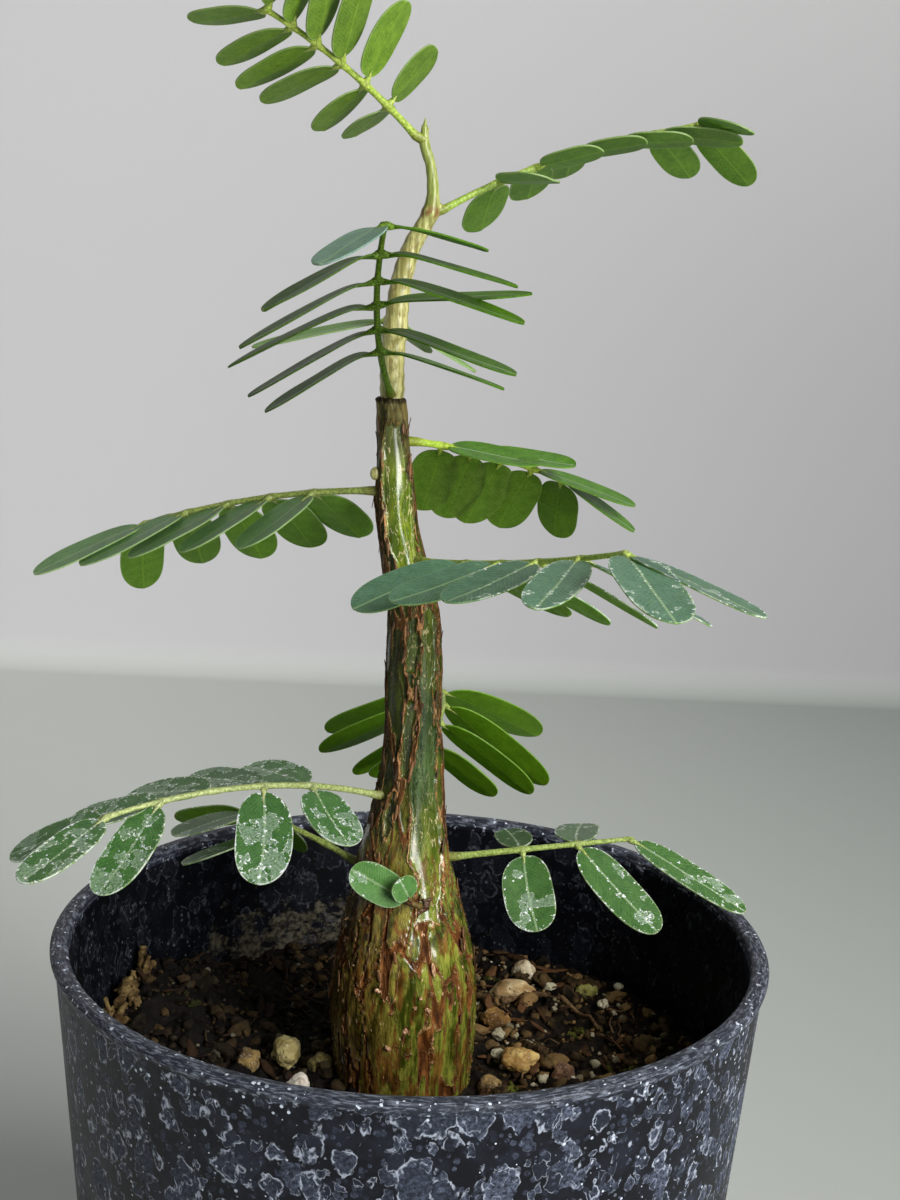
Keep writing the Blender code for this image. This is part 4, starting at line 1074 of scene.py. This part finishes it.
def makeLeafSkin(name, look):
    material, tree, shader = newFinish(name)
    place = objectPlace(tree)
    along, across, rim, below, rib, chance, paintedLight, foot = (attribute(tree, item) for item in leafMarks)
    mottled = blotches(tree, place, 1.4, 3, 0.55)
    fine = blotches(tree, place, 0.3, 2, 0.5)
    blotch = times(tree, plus(tree, span(tree, mottled, 0.3, 0.7), span(tree, fine, 0.3, 0.7)), 0.5)
    sideways = calc(tree, "ABSOLUTE", across)
    isBelow = span(tree, below, 0.45, 0.55)

    # side veins leave the rib at a slant
    slant = minus(tree, times(tree, along, 22.0), times(tree, sideways, 1.7))
    slant = plus(tree, slant, times(tree, mottled, 1.4))
    veins = times(tree, line(tree, calc(tree, "FRACT", slant), 0.5, 0.2), span(tree, sideways, 0.15, 0.5))
    faces = []
    for darker, lighter in (look["upper"], look["under"]):
        face = mixColour(tree, blotch, darker, lighter)
        faces.append(mixColour(tree, times(tree, veins, 0.2), face, tuple(value + 26 for value in lighter)))
    colour = mixColour(tree, isBelow, *faces)
    if look["paintedLight"]:   # painted light shines through some leaflets, and some get a painted sky reflection
        for start, tints in ((0.2, look["paintedLight"]), (1.2, look["paintedReflection"])):
            tinted = mixColour(tree, blotch, *tints)
            colour = mixColour(tree, span(tree, paintedLight, start, start + 0.5), colour, tinted)
    value = plus(tree, times(tree, minus(tree, chance, 0.5), 0.3), 1.0)   # no two leaflets are quite alike
    colour = addNode(tree, "HueSaturation", {"Hue": 0.5, "Color": colour, "Value": value}).outputs[0]
    ribShows = span(tree, isBelow, 0, 1, 0.6, look["midrib"])
    midrib = times(tree, span(tree, sideways, 0.08, 0.2, 1, 0), ribShows)
    colour = mixColour(tree, midrib, colour, mixColour(tree, isBelow, (150, 174, 132), (124, 156, 56)))
    margin = times(tree, span(tree, rim, 0.04, 0.16, 1, 0), look["margin"])
    colour = mixColour(tree, margin, colour, (170, 190, 140))
    if look["chalk"]:
        colour = addChalk(tree, colour, look, (place, mottled, fine), (along, sideways, rim, isBelow))
    ribColour = mixColour(tree, span(tree, fine, 0.35, 0.65), *look["rib"])
    ribColour = mixColour(tree, times(tree, foot, 0.75), ribColour, (96, 84, 36))
    colour = mixColour(tree, rib, colour, ribColour)
    setSockets(tree, shader, Base_Color=colour, Roughness=span(tree, isBelow, 0, 1, 0.42, 0.55),
               Specular_IOR_Level=look["shine"], Subsurface_Weight=look["glow"], Subsurface_Scale=0.0015,
               Subsurface_Radius=(0.7, 1.0, 0.15))
    relief = plus(tree, times(tree, veins, -0.5), times(tree, fine, 0.5))
    addBump(tree, shader, relief, 0.06, 0.5)
    return material


def addChalk(tree, colour, look, patterns, marks):  # dried water leaves a chalky haze with a crisp outline
    place, mottled, fine = patterns
    along, sideways, rim, isBelow = marks
    chalk = look["chalk"]
    x = axes(tree, place)[0]
    leftEnd = look["chalkFrom"] * mm
    above = times(tree, minus(tree, 1, times(tree, isBelow, 0.8)), span(tree, x, leftEnd, leftEnd + 4 * mm))
    patch = blotches(tree, warped(tree, place, 0.8, 0.9), 2.8, 3, 0.58)
    patch = plus(tree, patch, span(tree, along, 0, 1, -0.06, 0.06))
    start = 0.69 - 0.17 * chalk
    haze = times(tree, span(tree, patch, start, start + 0.02), span(tree, fine, 0.3, 0.65, 0.15, 0.6))
    nearEdge = larger(tree, span(tree, rim, 0.1, 0.7, 1, 0), span(tree, sideways, 0.05, 0.5, 1, 0))
    nearEdge = larger(tree, nearEdge, line(tree, patch, start + 0.01, 0.05))
    speckle = blotches(tree, place, 0.42, 2, 0.6)
    least = 0.77 - 0.07 * chalk
    dots = span(tree, plus(tree, speckle, times(tree, nearEdge, 0.14)), least, least + 0.03)
    crust = times(tree, line(tree, patch, start + 0.012, 0.012), span(tree, speckle, 0.42, 0.55))
    rimCrust = times(tree, span(tree, rim, 0.05, 0.2, 1, 0), span(tree, mottled, 0.44, 0.58, 0, chalk), 0.9)
    colour = mixColour(tree, times(tree, haze, above, 0.75), colour, (164, 180, 168))
    crisp = larger(tree, larger(tree, crust, dots), rimCrust)
    return mixColour(tree, times(tree, crisp, above), colour, (226, 234, 226))


# each leaf's upper and under colours and its rib's, as a darker and a lighter one
leafLook = {
    "upper": ((72, 106, 78), (98, 134, 98)),
    "under": ((70, 104, 24), (96, 132, 42)),
    "rib": ((104, 120, 54), (154, 168, 92)),
    "midrib": 0.4,      # how much the rib shows below
    "margin": 0.3,
    "paintedLight": None,
    "shine": 0.35,
    "chalk": 0,
    "chalkFrom": -60,   # how far to the right the chalk starts
    "glow": 0.3,
}
leafLooks = {
    "leaf_top": {"upper": ((76, 106, 36), (108, 132, 50)), "under": ((76, 108, 28), (114, 144, 46)),
                 "rib": ((128, 152, 52), (174, 192, 90))},
    "leaf_right_high": {"upper": ((64, 97, 34), (90, 119, 46)), "under": ((60, 94, 22), (92, 124, 36)),
                        "rib": ((116, 142, 48), (160, 182, 82))},
    "leaf_front_high": {"upper": ((44, 64, 22), (68, 90, 38)), "under": ((46, 70, 16), (68, 96, 30)),
                        # painted light shining through some leaflets, and a painted sky reflection on one
                        "paintedLight": ((46, 80, 6), (74, 112, 18)), "paintedReflection": ((96, 122, 110), (122, 148, 136)),
                        "rib": ((56, 80, 20), (94, 120, 38)), "margin": 0, "shine": 0.1},
    "leaf_left_mid": {"upper": ((74, 108, 64), (98, 134, 82))},
    "leaf_right_mid": {"upper": ((48, 90, 10), (78, 122, 26)), "under": ((70, 100, 26), (96, 128, 44)),
                       "rib": ((136, 166, 44), (178, 202, 80)),
                       "margin": 0.05, "shine": 0.15, "midrib": 0.15},
    "leaf_front_right": {"upper": ((60, 92, 72), (86, 120, 96)), "rib": ((130, 154, 62), (178, 198, 100)),
                         "chalk": 0.45, "chalkFrom": 4, "margin": 0.1},
    "leaf_left_low": {"upper": ((50, 88, 44), (78, 118, 62)), "rib": ((128, 142, 80), (180, 190, 128)),
                      "chalk": 0.9},
    "leaf_right_low": {"upper": ((46, 82, 36), (72, 108, 52)), "rib": ((112, 130, 60), (160, 176, 98)),
                       "chalk": 0.5},
    "leaf_left_back": {"upper": ((50, 84, 40), (74, 108, 56)), "chalk": 0.4},
    "leaf_back": {"upper": ((76, 116, 36), (96, 136, 44)), "under": ((70, 108, 10), (96, 136, 22)),
                  "margin": 0.04, "shine": 0.2},
    "leaf_young": {"upper": ((86, 126, 54), (110, 146, 66)), "rib": ((110, 138, 46), (150, 172, 74))},
    "leaf_sprout": {"upper": ((62, 106, 50), (88, 130, 66)), "under": ((62, 104, 34), (88, 130, 50)),
                    "rib": ((70, 48, 28), (118, 92, 50)), "chalk": 0.12},
}


def makeLeaves():
    chance = random.Random(31)
    for name, leaf in leafPlan.items():
        bm = bmesh.new()
        layers = {item: bm.verts.layers.float.new(item) for item in leafMarks}
        path = leafPath(leaf)
        steps = max(10, round(leaf["length"] * 1.3))
        bearing = math.radians(leaf["bearing"])
        places = [path[0] - Vector((math.cos(bearing), math.sin(bearing), 0)) * 0.6 * mm]
        radii = [1.5 * leaf.get("ribRadius", leafletPlan["ribRadius"])[0] * mm]
        gap = (1 - leaf["bare"]) / max(1, leaf["pairs"] - 1)
        joints = [leaf["bare"] + gap * i for i in range(leaf["pairs"])]
        for i in range(1, steps + 1):
            share = i / steps
            places.append(pointAlong(path, share))
            radius = blendThrough(leaf.get("ribRadius", leafletPlan["ribRadius"]), share)
            radius *= 1 + 0.4 * math.exp(-(share * leaf["length"] / 1.6) ** 2)
            knob = max(math.exp(-((share - joint) * leaf["length"] / 0.7) ** 2) for joint in joints)
            radii.append(radius * (1 + 0.3 * knob) * mm)
        ribVerts = sweepTube(bm, places, radii, 12, [(layers["rib"], 1)])
        for vert in ribVerts:
            vert[layers["foot"]] = smooth(2.2 * mm, 0.3 * mm, (vert.co - path[0]).length)
        for matrix, length, width, tone in leafletPlaces(leaf):
            addLeaflet(bm, layers, matrix, length, width, chance, leaf, tone)
        bmesh.ops.remove_doubles(bm, verts=bm.verts, dist=0.0000005)
        bmesh.ops.recalc_face_normals(bm, faces=bm.faces)
        skin = makeLeafSkin(name + "_skin", {**leafLook, **leafLooks[name]})
        finishPiece(name + "_fine", bm, [skin], [name], 50)
    print("leaves made:", len(leafPlan))


# the soil and what lies on it
soilPlan = {
    "depth": 21,
    "relief": 1.3,
    "grid": 235,
    "lumps": ((4.6, 1.6), (2.2, 1.3), (1.0, 0.5)),     # size and height of the lumps in the bed
    "clods": ((110, 2.2, 3.8, 3), (560, 1.1, 2.2, 2), (2300, 0.4, 1.1, 1)),   # count, sizes, fineness
    "grit": 520,
    "chips": 260,
    "fibres": 80,
    "moss": ((16.2, -3), (34.5, 10.4), (30.2, 2.5), (37, -8), (24, 14), (12, 31), (-31, 12), (38, 4),
             (19, -12)),
    "mossTuft": 16,
    # single bits that stand out: x, y, size and how pale
    "bits": ((12.9, 12, 2, 0.55), (21, 28.5, 1.6, 0.9), (28.5, 21, 1.8, 0.85), (-26.2, 1.6, 1.4, 0.3),
             (12.6, 5.8, 2, 1)),
    "strand": ((13.5, 21.5), (16.5, 24.5), (20, 24), (24, 20.5), (27.5, 15)),
    "rootClump": {"middle": (-42, 10), "roots": 13, "crumbs": 26, "within": 42.6},
}


def soilWaves(x, y):  # the same broad waves as the solid's top
    top = rimHeight - soilPlan["depth"] * mm
    calm = max(0, min(1, (potInnerRadius(top) - math.hypot(x, y)) / (5 * mm)))
    waves = noise.noise(Vector((x, y, 0)) / (9 * mm)) + 0.6 * noise.noise(Vector((x, y, 1)) / (4 * mm))
    return top + soilPlan["relief"] * mm * waves * calm


def soilTop(x, y):
    spot = Vector((x, y, 0)) / mm
    lumps = 0
    tone = 0
    for size, high in soilPlan["lumps"]:
        distances, centres = noise.voronoi(spot / size + Vector((0, 0, size)))
        lumps += high * (0.55 - min(1, distances[0])) * (0.5 + abs(noise.cell(centres[0] * 5)))
        tone = noise.cell(centres[0] * 9) * 0.5 + 0.5
    lumps += 0.14 * noise.noise(spot / 0.5)
    pile = 5.5 * math.exp(-((x / mm + 37) / 9) ** 2 - ((y / mm - 16) / 14) ** 2)
    return soilWaves(x, y) + (lumps + pile) * mm, tone


def makeEarth(name, dark, light, spots, spotShare, toned=False, leftShade=0.8):
    material, tree, shader = newFinish(name)
    place = objectPlace(tree)
    coarse = blotches(tree, place, 2.4, 4, 0.65)
    fine = blotches(tree, place, 0.4, 3, 0.6)
    share = span(tree, coarse, 0.35, 0.68)
    if toned:   # each crumb has its own tone
        share = plus(tree, times(tree, attribute(tree, "tone"), 0.8), times(tree, share, 0.2))
    colour = mixColour(tree, share, dark, light)
    flecks = span(tree, fine, spotShare, spotShare + 0.05)
    colour = mixColour(tree, times(tree, flecks, 0.7), colour, spots)
    # painted shade: darker towards the left
    x = axes(tree, place)[0]
    colour = mixColour(tree, span(tree, x, -18 * mm, 6 * mm, leftShade, 0), colour, (9, 7, 6))
    setSockets(tree, shader, Base_Color=colour, Roughness=span(tree, coarse, 0.3, 0.7, 0.95, 0.65),
               Specular_IOR_Level=0.15)
    addBump(tree, shader, plus(tree, coarse, fine), 0.35, 0.9)
    return material


def makeSoilBed():
    edge = potInnerRadius(rimHeight - soilPlan["depth"] * mm) - 0.15 * mm
    low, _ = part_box("soil")
    bm = bmesh.new()
    tone = bm.verts.layers.float.new("tone")
    rows = soilPlan["grid"]
    made = bmesh.ops.create_grid(bm, x_segments=rows, y_segments=rows, size=1)["verts"]
    for vert in made:      # the square grid is drawn into a round one
        a, b = vert.co.x, vert.co.y
        x = a * math.sqrt(1 - b * b / 2) * edge
        y = b * math.sqrt(1 - a * a / 2) * edge
        height, vert[tone] = soilTop(x, y)
        vert.co = (x, y, height)
    rimEdges = [item for item in bm.edges if item.is_boundary]
    footShrink = (potInnerRadius(low.z + 2 * mm) - 0.15 * mm) / edge
    grown = bmesh.ops.extrude_edge_only(bm, edges=rimEdges)["geom"]
    foot = [item for item in grown if isinstance(item, bmesh.types.BMVert)]
    for vert in foot:
        vert.co = (vert.co.x * footShrink, vert.co.y * footShrink, low.z)
    bmesh.ops.contextual_create(bm, geom=[item for item in bm.edges if item.is_boundary])
    bmesh.ops.recalc_face_normals(bm, faces=bm.faces)
    humus = makeEarth("darkHumus", (9, 7, 5), (38, 28, 19), (110, 90, 62), 0.7)
    finishPiece("soil_bed", bm, [humus], ["soil"])


def scatterSpots(count, chance, near=10.5, far=42.5):
    for _ in range(count):
        reach = math.sqrt(chance.uniform((near * mm) ** 2, (far * mm) ** 2))
        angle = chance.uniform(0, math.tau)
        yield reach * math.cos(angle), reach * math.sin(angle)


def addLump(bm, place, size, chance, rough, fineness):
    made = bmesh.ops.create_icosphere(bm, subdivisions=fineness, radius=0.5)["verts"]
    shift = Vector((chance.random(), chance.random(), chance.random())) * 20
    for vert in made:
        vert.co *= 1 + rough * noise.noise(vert.co * 2.4 + shift)
    angle = chance.uniform(0, math.tau)
    turn = Matrix.Rotation(angle, 4, Vector((chance.uniform(-0.4, 0.4), 0, 1)).normalized())
    matrix = Matrix.Translation(place) @ turn @ Matrix.Diagonal((*size, 1))
    for vert in made:
        vert.co = matrix @ vert.co
    return made


def gather(bm, batch):  # many small forms are made in batches, because that is quicker
    mesh = bpy.data.meshes.new("batch")
    batch.to_mesh(mesh)
    batch.free()
    bm.from_mesh(mesh)
    bpy.data.meshes.remove(mesh)


def addStrand(bm, points, thick, chance, lift=0.3):  # a root laid over the soil through flat points
    places = []
    for i in range(len(points) * 5 - 4):
        share = i / (len(points) * 5 - 5) * (len(points) - 1)
        before = min(int(share), len(points) - 2)
        spot = Vector((*points[before], 0)).lerp(Vector((*points[before + 1], 0)), share - before) * mm
        spot += noise.noise_vector(spot / (3 * mm)) * 0.5 * mm
        places.append(Vector((spot.x, spot.y, soilTop(spot.x, spot.y)[0] + lift * mm)))
    count = len(places)
    taper = [thick * mm * (1 - 0.5 * i / count) * chance.uniform(0.85, 1.15) for i in range(count)]
    return sweepTube(bm, places, taper, 7)


def makeRootClump(chance):
    plan = soilPlan["rootClump"]
    within = plan["within"] * mm
    bm = bmesh.new()
    middle = Vector((*plan["middle"], 0)) * mm
    for i in range(plan["roots"]):
        base = middle + Vector((chance.uniform(-1, 2.2), chance.uniform(-6, 7), 0)) * mm
        base *= min(1, 42 * mm / base.length)
        base.z = soilTop(base.x, base.y)[0] - 0.5 * mm
        heading = Vector((chance.uniform(-0.1, 0.5), chance.uniform(-0.7, 0.7), 1)).normalized()
        long = chance.uniform(1.8, 5.2) * mm
        places = []
        for k in range(9):
            heading = (heading + noise.noise_vector(base / mm + Vector((k, i, 3))) * 0.5).normalized()
            spot = (places[-1] if places else base) + heading * long / 8
            reach = math.hypot(spot.x, spot.y)
            if reach > within:
                spot.x, spot.y = spot.x * within / reach, spot.y * within / reach
            places.append(spot)
        thick = chance.uniform(0.5, 1.1) * mm
        sweepTube(bm, places, [thick * (1 - 0.45 * k / 8) * chance.uniform(0.7, 1.2) for k in range(9)], 9)
    for _ in range(plan["crumbs"]):
        spot = middle + Vector((chance.uniform(-1, 4), chance.uniform(-8, 8), 0)) * mm
        spot *= min(1, 42 * mm / spot.length)
        spot.z = soilTop(spot.x, spot.y)[0] + chance.uniform(0, 1.5) * mm
        wide = chance.uniform(0.8, 2) * mm
        addLump(bm, spot, (wide, wide * 0.7, wide), chance, 0.8, 3)
    bmesh.ops.recalc_face_normals(bm, faces=bm.faces)
    # the root clump is lit, so it gets less painted shade
    dryRoot = makeEarth("dryRoot", (82, 62, 34), (166, 140, 90), (60, 42, 24), 0.58, leftShade=0.35)
    finishPiece("dry_roots", bm, [dryRoot])


def makeLitter():
    chance = random.Random(5)
    crumbs = bmesh.new()
    for count, least, most, fineness in soilPlan["clods"]:
        spots = list(scatterSpots(count, chance))
        for start in range(0, len(spots), 100):
            batch = bmesh.new()
            tone = batch.verts.layers.float.new("tone")
            for x, y in spots[start:start + 100]:
                wide = chance.uniform(least, most) * mm
                place = Vector((x, y, soilTop(x, y)[0] + 0.1 * wide))
                shade = chance.random() ** 2.5
                size = (wide, wide * chance.uniform(0.55, 1), wide * chance.uniform(0.5, 0.8))
                for vert in addLump(batch, place, size, chance, 0.8, fineness):
                    vert[tone] = shade
            gather(crumbs, batch)
    finishPiece("humus_crumbs", crumbs,
                [makeEarth("brownCrumbs", (14, 10, 7), (158, 126, 80), (160, 132, 88), 0.68, True)])
    grit = bmesh.new()
    tone = grit.verts.layers.float.new("tone")
    for x, y in scatterSpots(soilPlan["grit"], chance):
        if x < -5 * mm and chance.random() < 0.5:   # it shows more on the right
            continue
        wide = chance.choice((0.4, 0.5, 0.6, 0.8, 1.1, 1.5)) * mm
        shade = chance.random() ** 1.3
        place = Vector((x, y, soilTop(x, y)[0] + 0.2 * wide))
        for vert in addLump(grit, place, (wide, wide * chance.uniform(0.7, 1), wide * 0.8), chance, 0.6, 2):
            vert[tone] = shade
    for x, y, size, shade in soilPlan["bits"]:
        wide = size * mm
        place = Vector((x * mm, y * mm, soilTop(x * mm, y * mm)[0] + 0.3 * wide))
        for vert in addLump(grit, place, (wide, wide * 0.8, wide * 0.8), chance, 0.6, 4):
            vert[tone] = shade
    finishPiece("pumice_grit", grit,
                [makeEarth("paleGrit", (86, 72, 42), (230, 222, 190), (92, 74, 46), 0.64, True)])
    chips = bmesh.new()
    tone = chips.verts.layers.float.new("tone")
    for x, y in scatterSpots(soilPlan["chips"], chance, 11, 41.5):
        wide, long = chance.uniform(0.5, 1.5) * mm, chance.uniform(1.6, 5.2) * mm
        made = addLump(chips, Vector((0, 0, 0)), (long, wide, 0.4 * mm), chance, 0.7, 2)
        tilt = Matrix.Rotation(chance.uniform(-0.5, 0.5), 4, "Y")
        tilt = tilt @ Matrix.Rotation(chance.uniform(-0.4, 0.4), 4, "X")
        lay = Matrix.Translation((x, y, soilTop(x, y)[0] + 0.35 * mm)) @ tilt
        bmesh.ops.transform(chips, matrix=lay, verts=made)
        shade = chance.random() ** 1.6
        for vert in made:
            vert[tone] = shade
    finishPiece("bark_chips", chips,
                [makeEarth("barkChip", (26, 17, 10), (118, 82, 52), (150, 112, 76), 0.68, True)])
    fibres = bmesh.new()
    for x, y in scatterSpots(soilPlan["fibres"], chance, 12, 38):
        heading, points = chance.uniform(0, math.tau), [(x / mm, y / mm)]
        for _ in range(chance.choice((2, 3, 5))):
            heading += chance.uniform(-0.7, 0.7)
            points.append((points[-1][0] + 1.6 * math.cos(heading), points[-1][1] + 1.6 * math.sin(heading)))
        if all(math.hypot(*point) < 41.5 for point in points):
            addStrand(fibres, points, chance.uniform(0.08, 0.2), chance)
    addStrand(fibres, soilPlan["strand"], 0.5, chance, 0.8)
    bmesh.ops.recalc_face_normals(fibres, faces=fibres.faces)
    rootFibre = makeEarth("rootFibre", (74, 54, 34), (138, 110, 78), (160, 132, 98), 0.62)
    finishPiece("root_fibres", fibres, [rootFibre])
    moss = bmesh.new()
    for x, y in soilPlan["moss"]:
        for _ in range(soilPlan["mossTuft"]):
            wide = chance.uniform(0.3, 1.0) * mm
            spot = Vector((x + chance.gauss(0, 1.1), y + chance.gauss(0, 0.8), 0)) * mm
            spot.z = soilTop(spot.x, spot.y)[0] + 0.15 * mm
            addLump(moss, spot, (wide, wide, wide), chance, 0.8, 2)
    mossGreen = makeEarth("mossGreen", (36, 38, 12), (98, 100, 34), (132, 138, 62), 0.62)
    finishPiece("moss_bits", moss, [mossGreen])
    makeRootClump(chance)
    print("soil made")


# the stones: a pale and a dark tone, and how pitted each one is
stoneTints = {
    "stone_01": ((232, 220, 190), (176, 152, 110), 0.3),
    "stone_02": ((222, 198, 150), (158, 122, 72), 1.0),
    "stone_03": ((172, 128, 58), (104, 72, 30), 0.7),
    "stone_04": ((226, 196, 122), (164, 122, 60), 0.8),
    "stone_05": ((196, 190, 108), (128, 124, 54), 0.4),
    "stone_06": ((206, 190, 132), (140, 122, 66), 0.3),
    "stone_07": ((236, 230, 220), (190, 176, 156), 0.5),
    "stone_08": ((146, 132, 72), (92, 80, 38), 0.3),
    "stone_09": ((150, 124, 72), (88, 66, 34), 1.0),
    "stone_10": ((146, 118, 70), (84, 62, 32), 1.0),
    "stone_11": ((150, 112, 84), (92, 62, 40), 1.0),
    "stone_12": ((214, 196, 160), (150, 124, 84), 0.6),
}
stoneMesh = {"fineness": 5, "roughness": 0.35, "grain": 0.3, "pit": 0.28}


def makeStoneSkin(name, pale, dark, pitted):
    material, tree, shader = newFinish(name)
    place = objectPlace(tree)
    broad = blotches(tree, place, 2.2, 4, 0.6)
    fine = blotches(tree, place, 0.35, 3, 0.6)
    colour = mixColour(tree, span(tree, broad, 0.36, 0.66), dark, pale)
    distance, _ = cells(tree, warped(tree, place, 0.6, 0.4), 0.62)
    hole = times(tree, span(tree, distance, 0.12, 0.26, 1, 0), span(tree, broad, 0.4, 0.55))
    # painted shade: the pits are darker
    colour = mixColour(tree, times(tree, hole, 0.75 * pitted), colour, tuple(value * 0.42 for value in dark))
    colour = mixColour(tree, times(tree, span(tree, fine, 0.58, 0.7), 0.35), colour, (244, 238, 224))
    setSockets(tree, shader, Base_Color=colour, Roughness=0.85)
    addBump(tree, shader, minus(tree, fine, hole), 0.22, 0.8)
    return material


def makeStones():
    for i, (name, (pale, dark, pitted)) in enumerate(stoneTints.items()):
        low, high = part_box(name)
        chance = random.Random(7 + i)
        bm = bmesh.new()
        bmesh.ops.create_icosphere(bm, subdivisions=stoneMesh["fineness"], radius=0.5)
        shift = Vector((chance.random(), chance.random(), chance.random())) * 20
        size = high - low
        for vert in bm.verts:   # the same broad shape as the solid, with grain and pits on it
            ball = vert.co.copy()
            vert.co *= 1 + stoneMesh["roughness"] * noise.noise(ball * 2.4 + shift)
            real = Vector((ball.x * size.x, ball.y * size.y, ball.z * size.z)) / mm
            grain = noise.noise(real * 1.6 + shift) + 0.5 * noise.noise(real * 4 + shift)
            near = noise.voronoi(real * 1.3 + shift)[0][0]
            pit = smooth(0.42, 0.12, near) * pitted
            vert.co *= 1 + (stoneMesh["grain"] * grain - stoneMesh["pit"] * pit) * mm / size.x
        turn = Matrix.Rotation(chance.uniform(0, math.tau), 4, "Z")
        bmesh.ops.transform(bm, matrix=turn, verts=bm.verts)
        least = Vector([min(vert.co[k] for vert in bm.verts) for k in range(3)])
        most = Vector([max(vert.co[k] for vert in bm.verts) for k in range(3)])
        for vert in bm.verts:
            share = Vector([(vert.co[k] - least[k]) / (most[k] - least[k]) for k in range(3)])
            vert.co = Vector([low[k] + share[k] * size[k] for k in range(3)])
        finishPiece(name + "_fine", bm, [makeStoneSkin(name + "_skin", pale, dark, pitted)], [name])
    print("stones made:", len(stoneTints))


setUpCamera()
setUpLights()
makeStage()
makePot()
makeSoilBed()
makeLitter()
makeStones()
makeStem()
makeSlivers()
makeLeaves()
